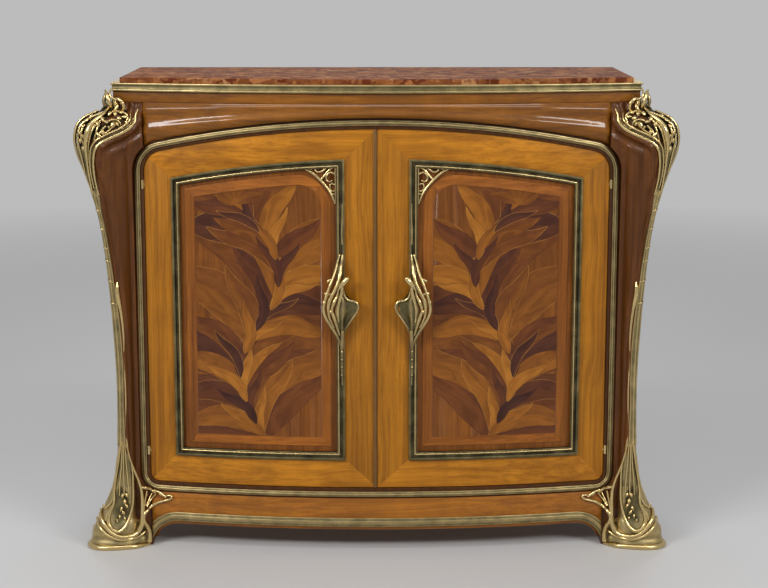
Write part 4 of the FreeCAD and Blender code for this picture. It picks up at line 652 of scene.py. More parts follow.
class Shell:
    """A cast shell over the post's corner. Rows: height, x of its edge on the front, its reach round the side
    and its thickness, all in millimetres."""

    def __init__(self, rows, lean=0.45):
        self.rows = [(z, front_reach(z, x), side, thick) for z, x, side, thick in rows]
        self.lean = lean

    def read(self, column, z):
        return smooth([(row[0], row[column]) for row in self.rows], z)

    def reach(self, z, share):
        front, side = self.read(1, z), self.read(2, z)
        return -front * (1 - share * 2) if share < 0.5 else side * (share - 0.5) * 2

    def at(self, z, share, lift=0.0):
        depth = self.read(3, z) * math.sin(math.pi * min(max(share, 0.0), 1.0)) ** self.lean
        return on_post(z, self.reach(z, share), depth + lift)

    def seen(self, x, z, lift=0.0):
        """The place on the shell, or on the wood beside it, that is seen from the front at x and z."""
        spots = [self.at(z, step / 60).x for step in range(46)]
        if x < spots[0]:
            return on_post(z, -front_reach(z, x), lift)
        for step, (here, after) in enumerate(zip(spots, spots[1:])):
            if here <= x <= after:
                return self.at(z, (step + (x - here) / max(after - here, 1e-6)) / 60, lift)
        return self.at(z, spots.index(max(spots)) / 60, lift)

    def mesh(self, name, step, count, shine, relief=None):
        low, high = self.rows[0][0], self.rows[-1][0]
        rings = []
        levels = max(int((high - low) / step), 2)
        for row in range(levels + 1):
            z = low + (high - low) * row / levels
            outer = []
            for index in range(count + 1):
                place = self.at(z, index / count)
                extra = relief(place.x, z, index / count) if relief else 0.0
                outer.append(self.at(z, index / count, extra) if extra else place)
            rings.append(outer + [on_post(z, self.reach(z, share / 4), -1.5) for share in (4, 3, 2, 1, 0)])
        return tinted(ruled(name, rings), shine)


def lines_on(shell, runs):
    """Strands that follow a shell. Each knot: height, share across, lift, radius."""
    return [[(shell.at(z, share, lift), radius) for z, share, lift, radius in run] for run in runs]


def drawn_on(shell, runs):
    """Strands that follow a shell as seen from the front. A run: its lift, then x, z and radius of each knot."""
    return [[(shell.seen(x, z, lift), radius) for x, z, radius in knots] for lift, *knots in runs]


def beads_on(shell, beads):
    """Small buds and leaves. Each: x, z, half length, radius, heading in degrees, lift."""
    runs = []
    for x, z, half, radius, heading, lift in beads:
        turn = math.radians(heading)
        runs.append([lift] + [
            (x + math.cos(turn) * half * along, z + math.sin(turn) * half * along, radius * 1.2 * size)
            for along, size in ((-1, 0.3), (-0.45, 0.9), (0.2, 1.0), (0.7, 0.6), (1, 0.15))])
    return drawn_on(shell, runs)


def off_line(line, x, z):
    """How far a place seen from the front lies from a line of points."""
    best = 1e9
    for (x0, z0), (x1, z1) in zip(line, line[1:]):
        along = ((x - x0) * (x1 - x0) + (z - z0) * (z1 - z0)) / ((x1 - x0) ** 2 + (z1 - z0) ** 2)
        along = min(max(along, 0), 1)
        best = min(best, math.hypot(x - x0 - (x1 - x0) * along, z - z0 - (z1 - z0) * along))
    return best


# The outer rim of the capital's leaf as seen from the front, and the three shells on the post.
RIM_LINE = (
    (545, 1052), (549, 1034), (551, 1017), (560, 1003), (580, 991), (598, 983), (616, 975), (630, 966), (639, 953),
    (643, 935), (644, 905), (640, 870), (635, 840),
)
STEM = Shell((
    (250, 591, 11, 6.5), (330, 593, 10.5, 6), (500, 594, 10.5, 6), (660, 610, 12, 6.5), (790, 629, 14, 6.5),
    (852, 637, 16, 7),
), 0.5)
CAPITAL = Shell((
    (846, 637, 15, 6.5), (880, 641, 15, 6.5), (910, 644, 20, 7), (938, 642, 30, 8), (956, 637, 40, 9),
    (968, 627, 46, 9), (980, 603, 54, 9.5), (992, 577, 60, 10), (1004, 559, 66, 10), (1018, 551, 66, 10),
    (1030, 556, 58, 9), (1040, 575, 46, 8), (1048, 600, 30, 6),
))
SABOT = Shell((
    (0.5, 543, 78, 15), (8, 541, 80, 18), (20, 541, 76, 17), (40, 543, 68, 18), (54, 549, 62, 17.5),
    (64, 560, 57, 17), (74, 571, 53, 16.5), (112, 571, 40, 14), (146, 573, 28, 12), (185, 577, 20, 9),
    (225, 585, 14, 7), (257, 590, 11, 6.5),
))


def frame_corner_level():
    across = FRAME_HALF - FRAME_TOP_CORNER
    return FRAME_CROWN - BOW_RADIUS + math.sqrt((BOW_RADIUS - FRAME_TOP_CORNER) ** 2 - across ** 2)


def frame_side(z):
    """Half width of the door frame's outline at a height."""
    if z < FRAME_FOOT + FRAME_LOW_CORNER:
        corner, rise = FRAME_LOW_CORNER, FRAME_FOOT + FRAME_LOW_CORNER - z
    else:
        corner, rise = FRAME_TOP_CORNER, max(z - frame_corner_level(), 0)
    return FRAME_HALF - corner + math.sqrt(max(corner ** 2 - rise ** 2, 0))


def frame_top(x):
    """Top of the door frame's outline at a distance x from the centre line."""
    arch = FRAME_CROWN - BOW_RADIUS + math.sqrt(BOW_RADIUS ** 2 - x ** 2)
    across = abs(x) - (FRAME_HALF - FRAME_TOP_CORNER)
    if across < 0:
        return arch
    return min(arch, frame_corner_level() + math.sqrt(max(FRAME_TOP_CORNER ** 2 - across ** 2, 0)))


# The void starts well inside the post's inner edge and in front of its face, and ends under the frame's crown.
VOID_INNER = 470
VOID_FRONT = -400
VOID_TOP = 1012


def frame_void():
    """The space that the door frame takes out of the right front post."""
    rings = []
    for step in range(121):
        z = FRAME_FOOT + 0.2 + (VOID_TOP - FRAME_FOOT) * (0.5 - 0.5 * math.cos(math.pi * step / 120))
        x = frame_side(z)
        rings.append([Vector((VOID_INNER, VOID_FRONT, z)), Vector((x, VOID_FRONT, z)),
                      on_bow(FRAME_BACK_STAND, x, z), on_bow(FRAME_BACK_STAND, VOID_INNER, z)])
    return ruled("frame_void", rings)


# How strong the post's flutes and the roll round the capital are at each height, and where the middle flute runs.
FLUTE_FADE = ((0, 0), (130, 0), (190, 1), (880, 1), (985, 0.15), (1056, 0))
ROLL_FADE = ((860, 0), (900, 0.5), (950, 1), (1056, 1))
FLUTE_X = 590
FLUTE_LEAN = 0.065
FLUTE_LEAN_FROM = 560


def post_relief(x, z, reach):
    """Flutes of the post's front, and the polished roll that follows the capital's rim."""
    body = smooth(FLUTE_FADE, z)
    groove = hump(reach - STEM.read(1, min(max(z, STEM.rows[0][0]), STEM.rows[-1][0])) - 9, 4.5)
    middle = FLUTE_X + FLUTE_LEAN * max(z - FLUTE_LEAN_FROM, 0)
    relief = body * (4.2 * hump(x - middle, 11) - 3 * groove - 5 * hump(x - 568.5, 5) - 2.2 * hump(x - middle - 19, 6))
    if z > ROLL_FADE[0][0]:
        off = off_line(RIM_LINE, x, z)
        near = smooth(ROLL_FADE, z)
        relief += near * (6 * hump(off - 10.5, 5.5) - 4.2 * hump(off - 23, 6) + 2.6 * hump(off - 35, 6))
    return relief


FINE_FROM, FINE_STEP, COARSE_STEP = 850, 3, 6


def front_post():
    rings = []
    z = 0.0
    while z < POST_TOP:
        z = min(z + (FINE_STEP if z > FINE_FROM else COARSE_STEP), POST_TOP) if rings else 0.0
        run, corner = face(z)
        reach = [0.0]
        for index in range(corner, 0, -1):
            reach.append(reach[-1] + (run[index] - run[index - 1]).length)
        outer = []
        for index in [round(corner * step / 32) for step in range(33)]:
            lift = post_relief(run[index].x, z, reach[corner - index])
            outer.append(run[index] + outwards(run, index) * lift)
        outer += [run[corner + round((FACE_STEPS - corner) * step / 10)] for step in range(1, 11)]
        back = Vector((outer[0].x, outer[-1].y, z))
        rings.append(outer + [outer[-1].lerp(back, 0.5), back, back.lerp(outer[0], 0.5)])
    piece = ruled("right_front_post_cast", rings)
    cut_away(piece, frame_void())
    return shaded(piece, POST_SHADE)


# The frieze: how far forward its fullest part stands, at which level and how round it is, and its back.
PILLOW_STAND = 217
PILLOW_LEVEL = 1030
PILLOW_SWELL = 260
PILLOW_BACK_STAND = 173
PILLOW_STEPS = 150

# Its ends turn back over the last stretch, its foot turns under, and its rolls stand out by a share of its height.
PILLOW_END, PILLOW_END_BACK = 16, 9
PILLOW_FOOT = 10
PILLOW_ROLL = 0.075


def frieze_pillow():
    """The swollen frieze over the doors, in two soft rolls that run together at the middle."""
    rings = []
    half = of_box("frieze_pillow", 1, 0)
    for step in range(-PILLOW_STEPS, PILLOW_STEPS + 1):
        x = half * math.sin(math.pi / 2 * step / PILLOW_STEPS)
        foot = frame_top(x) + 0.2
        height = POST_TOP - foot
        ending = max(abs(x) - half + PILLOW_END, 0) / PILLOW_END
        back = PILLOW_END_BACK * (1 - math.sqrt(max(1 - ending ** 2, 0)))
        ring = []
        for share in [0, 0.012, 0.03, 0.055] + [step / 24 for step in range(2, 25)]:
            z = foot + height * share
            radius = BOW_RADIUS - PILLOW_SWELL + math.sqrt(PILLOW_SWELL ** 2 - (z - PILLOW_LEVEL) ** 2)
            rolls = height * PILLOW_ROLL * (1.1 * hump(share - 0.3, 0.17) + hump(share - 0.82, 0.13)) - 2
            y = BOW_RADIUS - PILLOW_STAND - math.sqrt(radius ** 2 - x ** 2)
            under = max(1 - (z - foot) / PILLOW_FOOT, 0)
            ring.append(Vector((x, y - rolls + back + PILLOW_FOOT * (1 - math.sqrt(1 - under ** 2)), z)))
        rings.append(ring + [on_bow(PILLOW_BACK_STAND, x, level) for level in (POST_TOP, foot)])
    return ruled("frieze_pillow_cast", rings)


# The stem's ridges: the share across the shell and the size of each, and the heights of their knots. The leaf joints
# that cross them stand at the heights below.
STEM_RIDGES = ((0.08, 0.65), (0.3, 0.9), (0.52, 0.9), (0.74, 0.8), (0.94, 0.6))
RIDGE_LEVELS = (248, 330, 420, 520, 620, 720, 800, 856)
JOINT_LEVELS = (588, 640, 688, 718, 762, 806)


def stem_piece():
    shell = STEM.mesh("stem_shell", 12, 12, -0.1)
    ridges = []
    for share, size in STEM_RIDGES:
        radius = bpy.context.scene.cabinet_sizes.stem_ridge / MM * size
        ridges.append([(z, share, -0.8, radius) for z in RIDGE_LEVELS])
    for z in JOINT_LEVELS:
        ridges.append([(z, 0.04, 0.2, 1.2), (z + 3, 0.28, 1.2, 1.9), (z + 5, 0.5, 1.4, 2.1), (z + 3, 0.72, 1.2, 1.9),
                       (z, 0.96, 0.2, 1.2)])
    return joined("right_corner_stem_cast", shell, strands("stem_ridges", lines_on(STEM, ridges), 3, 0.22))


# The capital. Front strands: lift, then x, z and radius of each knot. Buds: x, z, half length, radius, heading and
# lift. Side strands: height, share across, lift and radius of each knot. Berries: height, share across and size.
# Scroll: x, y from the post's corner, z and radius of each knot.
CAPITAL_RIB = (
    (612, 1040), (629, 1024), (640, 1013), (650, 1000), (655, 986), (658, 968),
)
CAPITAL_FRONT = (
    (1.5, (545, 1040, 2.4), (549, 1028, 3), (551, 1014, 3.8), (560, 1001, 4.6), (580, 989, 4.8), (598, 981, 4.6),
     (616, 973, 4.4), (630, 964, 4), (639, 951, 3.6), (643, 933, 3.2), (644, 905, 2.8), (640, 868, 2.4),
     (636, 846, 2)),
    (2.2, (560, 1032, 1.6), (561, 1018, 2.2), (571, 1007, 2.4), (588, 997, 2.4), (606, 989, 2.4), (622, 981, 2.4),
     (636, 972, 2.4), (646, 958, 2.2), (650, 938, 2), (651, 905, 1.8), (645, 862, 1.5)),
    (3.6, (606, 1046, 2.4), (620, 1031, 3.8), (634, 1020, 5.2), (645, 1008, 6.6), (652, 994, 7), (656, 978, 6),
     (658, 962, 4), (657, 930, 2.6), (652, 880, 2), (647, 848, 1.6)),
    (1.2, (616, 1024, 1.6), (629, 1014, 2.2), (639, 1003, 2.6), (646, 990, 2.8), (650, 976, 2.4), (653, 960, 1.8),
     (655, 920, 1.4)),
    (1.6, (600, 1036, 2), (589, 1037, 2.4), (575, 1034, 2.6), (566, 1026, 2.4), (568, 1016, 1.8)),
    (1.0, (613, 1012, 1.6), (603, 1018, 2.2), (592, 1019, 2.2), (583, 1014, 2), (580, 1006, 1.6)),
    (0.8, (632, 978, 1.8), (626, 989, 2.6), (620, 998, 2.6), (612, 1006, 2)),
    (0.6, (640, 972, 1.4), (636, 986, 2), (632, 998, 2.4), (628, 1010, 2), (624, 1018, 1.4)),
    (0.6, (618, 980, 1.4), (613, 990, 2), (604, 997, 2), (597, 1004, 1.6)),
    (2.0, (612, 1038, 2), (625, 1033, 2.8), (642, 1026, 3), (659, 1016, 3.2), (668, 1007, 3), (675, 992, 2.2)),
    (1.6, (662, 962, 2), (668, 978, 2.6), (667, 994, 2.8), (660, 1008, 2.2)),
    (1.2, (664, 900, 1.6), (670, 936, 2.4), (676, 966, 2.6), (678, 988, 2.2)),
)
CAPITAL_BUDS = (
    (620, 1021, 7, 4, 60, 2), (630, 1010, 7, 4.4, 70, 2), (597, 1008, 8, 5.6, 110, 2), (588, 1010, 6, 3.6, 60, 2.4),
    (593, 1033, 7, 4.4, 80, 2.2), (584, 1022, 6, 3.4, 10, 2), (572, 1025, 7, 3.6, 0, 2), (581, 1034, 6, 3.6, 20, 2),
    (604, 1033, 6, 4, 130, 2.4), (619, 992, 8, 4.2, 60, 1.4), (628, 986, 9, 3.4, 50, 3),
    (612, 1015, 6, 3.4, 20, 1.6), (568, 1012, 5, 3, 50, 2), (578, 1001, 5, 3, 30, 1.4), (606, 1003, 4, 2.8, 90, 1),
    (640, 1016, 4, 2.6, 40, 1), (664, 1004, 6, 3.4, 120, 2), (672, 990, 6, 3.2, 100, 2), (671, 972, 6, 3, 80, 1.6),
    (663, 982, 6, 3, 70, 1.6), (655, 1018, 6, 3.2, 150, 1.6), (646, 1027, 5, 2.8, 160, 1.4),
    (676, 958, 6, 2.6, 75, 1),
)
CAPITAL_SIDES = (
    ((852, 0.98, 0, 2), (905, 0.98, 0.5, 2.6), (940, 0.97, 1, 3.2), (970, 0.96, 1.6, 3.6), (1000, 0.95, 2, 3.6),
     (1024, 0.92, 2, 3.2), (1038, 0.84, 2, 2.8), (1046, 0.7, 2, 2.4)),
    ((850, 0.6, 0.2, 1.8), (900, 0.6, 1, 2.4), (950, 0.6, 2, 3.4), (985, 0.58, 2.4, 4), (1014, 0.55, 2.4, 3.6),
     (1038, 0.5, 2.4, 2.6)),
    ((850, 0.78, 0.2, 1.8), (900, 0.78, 1, 2.4), (950, 0.78, 2, 3), (985, 0.76, 2.4, 3.4), (1014, 0.72, 2.4, 3),
     (1036, 0.64, 2.4, 2.2)),
)
CAPITAL_BERRIES = (
    (1018, 0.6, 4.4), (1004, 0.66, 4), (990, 0.69, 4.2), (1012, 0.8, 3.6), (996, 0.86, 3.8), (976, 0.69, 3.4),
    (978, 0.87, 3.4), (1028, 0.7, 3.4), (960, 0.86, 2.8),
)
CAPITAL_SCROLL = (
    ((606, 8, 1030, 4), (604, -2, 1044, 5.6), (606, -9, 1056, 5.6), (609, -10, 1067, 5), (612, -6, 1077, 4.2),
     (616, 0, 1084, 2.4)),
    ((596, 0, 1060, 3), (588, -8, 1065, 3.8), (579, -11, 1060, 4.2), (574, -10, 1050, 4.2), (576, -6, 1040, 3.6),
     (583, -3, 1034, 3)),
    ((604, -4, 1084, 1.8), (604, -9, 1075, 2.4), (600, -11, 1068, 2.6), (590, -10, 1063, 2.4)),
    ((590, -2, 1056, 3), (589, -7, 1048, 4.2), (594, -8, 1040, 3.8), (600, -5, 1034, 3)),
    ((598, -2, 1066, 4.5), (594, 0, 1052, 7), (592, 2, 1038, 6)),
    ((618, 4, 1046, 3), (620, 2, 1058, 4.6), (617, 2, 1070, 4.4), (614, 6, 1080, 2.6)),
    ((626, 10, 1040, 2.4), (618, 4, 1048, 3.2), (610, 0, 1056, 2.4)),
)


# Where the capital's leaf is hollowed, how deep below its rib and above it, and how the hollow fades round the side.
HOLLOW_FADE = ((945, 0), (972, 1), (1034, 1), (1046, 0))
HOLLOW_BELOW, HOLLOW_ABOVE = 7.5, 4
HOLLOW_ROUND = ((0, 0), (0.5, 0), (0.7, 1), (1, 1))


def capital_piece():
    inner, outer = CAPITAL_RIB[0][0], CAPITAL_RIB[-1][0]

    def hollow(x, z, share):
        if z < HOLLOW_FADE[0][0] or z > HOLLOW_FADE[-1][0]:
            return 0.0
        above = x > inner and z >= smooth(CAPITAL_RIB, min(x, outer))
        off = off_line(RIM_LINE, x, z)
        inside = min(max((off - 3) / 8, 0), 1) * smooth(HOLLOW_FADE, z)
        return -(HOLLOW_ABOVE if above else HOLLOW_BELOW) * inside * (1 - 0.75 * smooth(HOLLOW_ROUND, share))

    # Inside the rim on the front the level is so low that the brass is painted near black: painted shade standing for
    # the openwork's holes. Elsewhere above 962 mm the shell is dimmed a little towards it.
    def shade(place):
        inside = place.z > 960 and place.y < -120 and off_line(RIM_LINE, place.x, place.z) > 8
        return -0.75 if inside and place.z < 1042 else (-0.2 if place.z > 962 else 0.05)

    shell = CAPITAL.mesh("capital_shell", 3, 40, shade, hollow)
    cast = strands("capital_front", drawn_on(CAPITAL, CAPITAL_FRONT) + beads_on(CAPITAL, CAPITAL_BUDS), 4, 0.85)
    sides = list(CAPITAL_SIDES)
    for z, share, size in CAPITAL_BERRIES:
        sides.append([(z - size, share - 0.02, 0.6, size * 0.3), (z - size * 0.3, share, 1.6, size * 0.9),
                      (z + size * 0.6, share, 1.8, size * 0.7), (z + size * 1.3, share + 0.02, 1, size * 0.2)])
    flank = strands("capital_side", lines_on(CAPITAL, sides), 4, 0.7)
    crown = post_points(1040)[CORNER].y
    scroll = [[(Vector((x, crown - 8 + y, z)), radius) for x, y, z, radius in run] for run in CAPITAL_SCROLL]
    curl = strands("capital_scroll", scroll, 4, lambda place: 0.9 if place.y < crown - 14 else 0.1)
    return joined("right_capital_cast", shell, cast, flank, curl)


# The sabot, with tables like the capital's. Bud stem: height, share of the way in from the corner to x 560, lift
# and radius of each knot. Arm: x, z and radius of each knot.
SABOT_FRONT = (
    (2.0, (602, 254, 1.6), (609, 205, 2), (616, 165, 2.4), (620, 138, 3), (621, 112, 3.4), (631, 88, 4),
     (634, 68, 4.4), (628, 54, 4.6), (614, 46, 4.8), (599, 53, 4.6), (589, 70, 4.2), (583, 90, 3.8),
     (579, 114, 3.2), (578, 150, 2.6), (580, 196, 2.2), (591, 254, 1.6)),
    (2.6, (660, 92, 3), (652, 80, 4.6), (646, 65, 5), (635, 50, 5), (621, 39, 5), (604, 33, 5), (586, 33, 5.4),
     (571, 38, 6.4), (562, 50, 6.4), (556, 62, 5)),
    (2.0, (664, 70, 3.4), (655, 54, 4), (642, 41, 4.2), (625, 31, 4), (606, 26, 4), (585, 26, 4), (564, 29, 3.6),
     (550, 38, 2.8)),
    (1.6, (622, 124, 1.6), (630, 110, 3.2), (640, 100, 3.8), (649, 97, 2.4)),
    (1.8, (620, 110, 1.6), (630, 95, 3.2), (638, 82, 4.6), (641, 70, 3.6)),
    (0.4, (597, 254, 1.6), (598, 200, 1.8), (597, 150, 2), (598, 130, 1.6)),
    (0.4, (600, 254, 1.6), (603, 200, 1.8), (607, 160, 2), (608, 130, 1.4)),
    (0.4, (594, 254, 1.6), (591, 200, 1.8), (588, 160, 2), (587, 132, 1.4)),
    (0.8, (604, 252, 1.4), (613, 206, 1.8), (622, 160, 2.2), (630, 138, 2.4), (642, 116, 2), (652, 103, 1.4)),
    (0.8, (606, 250, 1.4), (619, 202, 1.6), (628, 172, 2), (638, 142, 2), (650, 120, 1.6)),
)
SABOT_BUDS = (
    (601, 130, 6, 3, 100, 1), (591, 131, 6, 3, 70, 1), (596, 116, 7, 3.6, 90, 1.4), (592, 105, 6, 3, 60, 1.2),
    (604, 99, 6, 3, 110, 1), (599, 90, 6, 3.4, 60, 1.2), (608, 81, 5, 2.6, 100, 0.8), (614, 72, 4, 2.4, 80, 0.6),
    (596, 76, 4, 2.2, 70, 0.6), (661, 88, 7, 4, 30, 3), (648, 99, 6, 3.6, 20, 2),
)
SABOT_SIDES = (
    ((4, 0.01, 0, 5), (6, 0.2, 0.5, 6.4), (6, 0.5, 0.5, 6.6), (6, 0.8, 0.5, 6.2), (4, 0.99, 0, 5)),
    ((236, 0.94, 0, 2), (170, 0.95, 0.8, 2.8), (110, 0.95, 1.4, 3.6), (64, 0.92, 2, 4.4), (36, 0.84, 2.4, 5),
     (28, 0.7, 2, 4.6), (44, 0.6, 2, 4)),
    ((216, 0.7, 0, 2), (150, 0.7, 0.8, 2.8), (96, 0.72, 1.6, 3.6), (62, 0.78, 1.6, 3.6), (50, 0.86, 1, 2.6)),
    ((90, 0.84, 0, 1.4), (66, 0.84, 1, 3), (46, 0.8, 0, 1.6)),
)
BUD_STEM = (
    (186, 0.62, 2, 2.8), (212, 0.5, 1.6, 3), (240, 0.38, 1.4, 3.2), (281, 0.3, 1, 3), (370, 0.3, 1, 3),
    (463, 0.3, 1, 3), (531, 0.34, 1, 3.2), (575, 0.3, 1.5, 3.8), (596, 0.24, 2.2, 5.6), (615, 0.22, 3, 6.2),
    (630, 0.24, 2.2, 4.6), (641, 0.25, 1, 1.4),
)
SABOT_ARM = (
    ((541, 12, 5), (541, 36, 5), (545, 52, 5), (552, 66, 4.6), (552, 80, 4.2), (547, 88, 4.6), (537, 97, 4.2),
     (522, 107, 3.8), (503, 114, 3.4), (490, 119, 3), (486, 124, 2.6), (492, 127, 2.2), (503, 125, 1.8)),
    ((566, 40, 6.5), (557, 60, 5.8), (556, 90, 5), (556, 118, 4.4), (558, 142, 3.8), (564, 164, 3.2),
     (574, 190, 2.8), (582, 214, 2.2)),
    ((557, 148, 2.6), (548, 145, 3.2), (538, 141, 3.4), (530, 134, 3), (519, 135, 3.2), (512, 128, 3.6),
     (500, 125, 2)),
    ((545, 137, 2), (548, 122, 2), (551, 106, 2.2), (553, 92, 2.6)),
    ((534, 130, 1.8), (541, 116, 1.9), (547, 102, 2.4)),
    ((524, 131, 1.8), (531, 122, 1.9), (540, 110, 2), (546, 100, 2.6)),
    ((551, 146, 2), (548, 146, 4.2), (544, 144, 2)),
    ((532, 138, 1.6), (528, 137, 3.8), (524, 137, 1.6)),
    ((514, 134, 2), (509, 129, 4.2), (500, 122, 2.2)),
)

# The side arm's stand off the bow over the apron, and the x from which it goes over to the post's face.
ARM_STAND = 207
ARM_ROOT_X = 535


# The hollow in the sabot's front: its middle, half width, and heights above and below the middle. The flank's hollow
# fades with the height, and the lip's groove runs round at its own level.
BOWL_X, BOWL_Z = 605, 92
BOWL_HALF, BOWL_UP, BOWL_DOWN = 23, 62, 40
FLANK_FADE = ((0, 0), (30, 0.2), (70, 1), (130, 0.3), (180, 0))
LIP_LEVEL = 26


def sabot_piece():
    def bowl(x, z):
        rise = z - BOWL_Z
        return math.hypot((x - BOWL_X) / BOWL_HALF, rise / BOWL_UP if rise > 0 else rise * 0.9 / BOWL_DOWN)

    def hollow(x, z, share):
        deep = max(1 - bowl(x, z) ** 2, 0) if share < 0.62 else 0
        side = hump(share - 0.82, 0.09) * smooth(FLANK_FADE, z)
        lip = hump(z - LIP_LEVEL, 7) * (0 if share > 0.98 else 1)
        return -9 * deep - 5 * side - 3 * lip

    def shade(place):
        if place.z > 150:
            return 0.08
        return 0.0 if place.y < -120 and bowl(place.x, place.z) < 0.95 else 0.42

    shell = SABOT.mesh("sabot_shell", 3, 40, shade, hollow)
    cast = strands("sabot_front", drawn_on(SABOT, SABOT_FRONT) + beads_on(SABOT, SABOT_BUDS), 4, 0.95)
    rim = strands("sabot_side", lines_on(SABOT, SABOT_SIDES), 4, 0.85)
    bud = []
    for z, across, lift, radius in BUD_STEM:
        x = 560 + (post_points(z)[CORNER].x - 560) * (1 - across)
        here = min(face(z)[0], key=lambda point: abs(point.x - x) + (500 if point.y > -100 else 0))
        bud.append((Vector((here.x, here.y - lift, z)), radius))
    bud_stem = strands("bud_stem", [bud], 3, 0.55)
    arm = []
    for run in SABOT_ARM:
        knots = []
        for x, z, radius in run:
            at_post = min(max((x - ARM_ROOT_X) / 14, 0), 1)
            y = bow_y(ARM_STAND, x) * (1 - at_post) + (min(p.y for p in face(z)[0][:60]) - 3) * at_post
            knots.append((Vector((x, y, z)), radius))
        arm.append(knots)
    return joined("right_sabot_cast", shell, cast, rim, bud_stem, strands("sabot_arm", arm, 4, 0.9))


# The handle. Rods: x, z, distance off the door and radius of each knot. Its leaf: the two edges and the distance off
# the door, by the share of the way down.
HANDLE_RODS = (
    ((85, 712, 3, 2.4), (89, 700, 8, 3.4), (92, 688, 15, 3.6), (97, 670, 23, 3.4), (104, 652, 29, 3.4),
     (112, 632, 32, 3.4), (119, 609, 34.5, 3.8), (122, 592, 34, 3.8), (118, 573, 32, 3.8), (108, 554, 28, 3.8),
     (96, 534, 21, 4), (87, 514, 12, 4), (81, 494, 4, 3.4)),
    ((79, 712, 3, 2.4), (80, 700, 7, 3.8), (82, 687, 16, 5), (84, 671, 25, 5), (88, 654, 30, 4.4),
     (97, 633, 33, 4.4), (106, 616, 34, 4), (110, 604, 34, 5), (111, 584, 32, 3.4), (107, 566, 30, 3),
     (98, 546, 25, 2.6)),
    ((64, 665, 31, 3), (67, 662, 32, 6.4), (74, 654, 32.5, 7), (82, 644, 32, 6), (88, 635, 31, 3)),
    ((79, 648, 31, 3.8), (80, 630, 33, 4.4), (85, 611, 33, 4.6), (89, 590, 31, 3.4), (88, 560, 27, 2.4)),
    ((87, 642, 30, 2.8), (91, 620, 31, 3.6), (98, 606, 33, 4.8), (103, 588, 32, 3.4), (98, 571, 31, 4.4),
     (92, 550, 27, 3), (86, 528, 20, 2.4)),
    ((98, 661, 26, 2), (105, 658, 28, 3.2), (111, 655, 28, 4), (113, 651, 28, 1.8)),
    ((104, 625, 31, 2), (112, 625, 32, 2.8), (118, 627, 33, 4.6), (121, 627, 33, 2)),
    ((103, 588, 31, 2.2), (105, 585, 33, 4.8), (107, 580, 32, 2.2)),
    ((119, 614, 33, 2.2), (120, 607, 34, 5), (120, 600, 33, 2.2)),
    ((79, 648, 30, 2.4), (76, 629, 30, 3), (70, 615, 29, 3.2), (61, 610, 28, 3), (50, 608, 28, 3), (43, 599, 28, 3),
     (45, 586, 27, 2.8), (57, 567, 25, 2.8), (69, 547, 20, 2.8), (77, 529, 13, 3)),
    ((79, 736, 2.4, 2.6), (80, 770, 2.4, 2.6), (79, 790, 2.4, 2), (79, 830, 2, 1.4)),
    ((79, 540, 20, 5), (80, 512, 11, 5), (81, 482, 4.5, 4), (81, 440, 2.5, 2.8), (80, 406, 2, 1.8)),
    ((81, 489, 6, 2), (81, 486, 8, 3.4), (81, 483, 6, 2)),
    ((81, 470, 5, 2), (81, 467, 7, 3.4), (81, 464, 5, 2)),
    ((81, 452, 4, 2), (81, 449, 6, 3), (81, 446, 4, 2)),
    ((81, 433, 4, 1.6), (81, 430, 5, 2.8), (81, 427, 4, 1.6)),
)
LEAF_LEFT = (
    (0, 77), (0.12, 74), (0.22, 66), (0.28, 52), (0.34, 43), (0.42, 43), (0.56, 55), (0.72, 69), (0.85, 76),
    (1, 79),
)
LEAF_RIGHT = (
    (0, 80), (0.3, 90), (0.45, 95), (0.62, 93), (0.8, 87), (1, 83),
)
LEAF_OUT = (
    (0, 24), (0.3, 28), (0.7, 21), (1, 8),
)
LEAF_TOP, LEAF_DROP = 652, 148
LEAF_CUP, LEAF_THICK = 8, 2.6
HANDLE_DEPTH = 34.5

# The centre of the keyhole's round part, its radius, and the width, depth and height of the slot under it.
KEYHOLE = (50.5, -215, 594)
KEYHOLE_RADIUS = 2.6
KEYHOLE_SLOT = (2.4, 60, 12)


def handle_piece():
    """Twigs that leave the panel moulding, close over the hand and run back into it."""
    stand = DOOR_STAND + 4
    deep = -on_bow(stand, 78, 600).y
    reach = -HANDLE_FRONT - deep

    def shade(spot):
        worn = min(max((-spot.y - deep) / reach * 1.2 - 0.4, -0.15), 0.55)
        return worn + (0.25 if spot.z > 638 and spot.x < 85 else 0)

    runs = [[(on_bow(stand, x, z, out / HANDLE_DEPTH * (reach - 5)), radius) for x, z, out, radius in rod]
            for rod in HANDLE_RODS]
    bars = strands("handle_bars", runs, 4, shade)
    rings = []
    for row in range(31):
        share = row / 30
        z = LEAF_TOP - LEAF_DROP * share
        left, right = smooth(LEAF_LEFT, share), smooth(LEAF_RIGHT, share)
        out = smooth(LEAF_OUT, share) / HANDLE_DEPTH * reach
        front, back = [], []
        for column in range(15):
            across = column / 14
            x = left + (right - left) * across
            cup = -LEAF_CUP * math.sin(math.pi * min(across * 1.7, 1)) * math.sin(math.pi * min(share + 0.08, 1))
            ridge = 4.5 * hump(x - 78, 4) + 2.6 * hump(x - 90, 3)
            front.append(on_bow(stand, x, z, out + cup + ridge))
            back.append(on_bow(stand, x, z, out + cup - LEAF_THICK))
        rings.append(front + back[::-1])
    return bars, tinted(ruled("handle_pad", rings), -0.05)


def keyhole_cut(pad):
    """Cut the keyhole through the right handle's leaf."""
    x, y, z = (part * MM for part in KEYHOLE)
    width, depth, height = (part * MM for part in KEYHOLE_SLOT)
    bpy.ops.mesh.primitive_cylinder_add(vertices=20, radius=KEYHOLE_RADIUS * MM, depth=depth,
                                        rotation=(math.pi / 2, 0, 0), location=(x, y, z))
    round_hole = bpy.context.view_layer.objects.active
    bpy.ops.mesh.primitive_cube_add(size=1, location=(x, y, z - height / 2))
    slot = bpy.context.view_layer.objects.active
    slot.scale = (width, depth, height)
    for tool in (round_hole, slot):
        select_only(tool)
        bpy.ops.object.transform_apply(location=True, rotation=True, scale=True)
        cut_away(pad, tool)


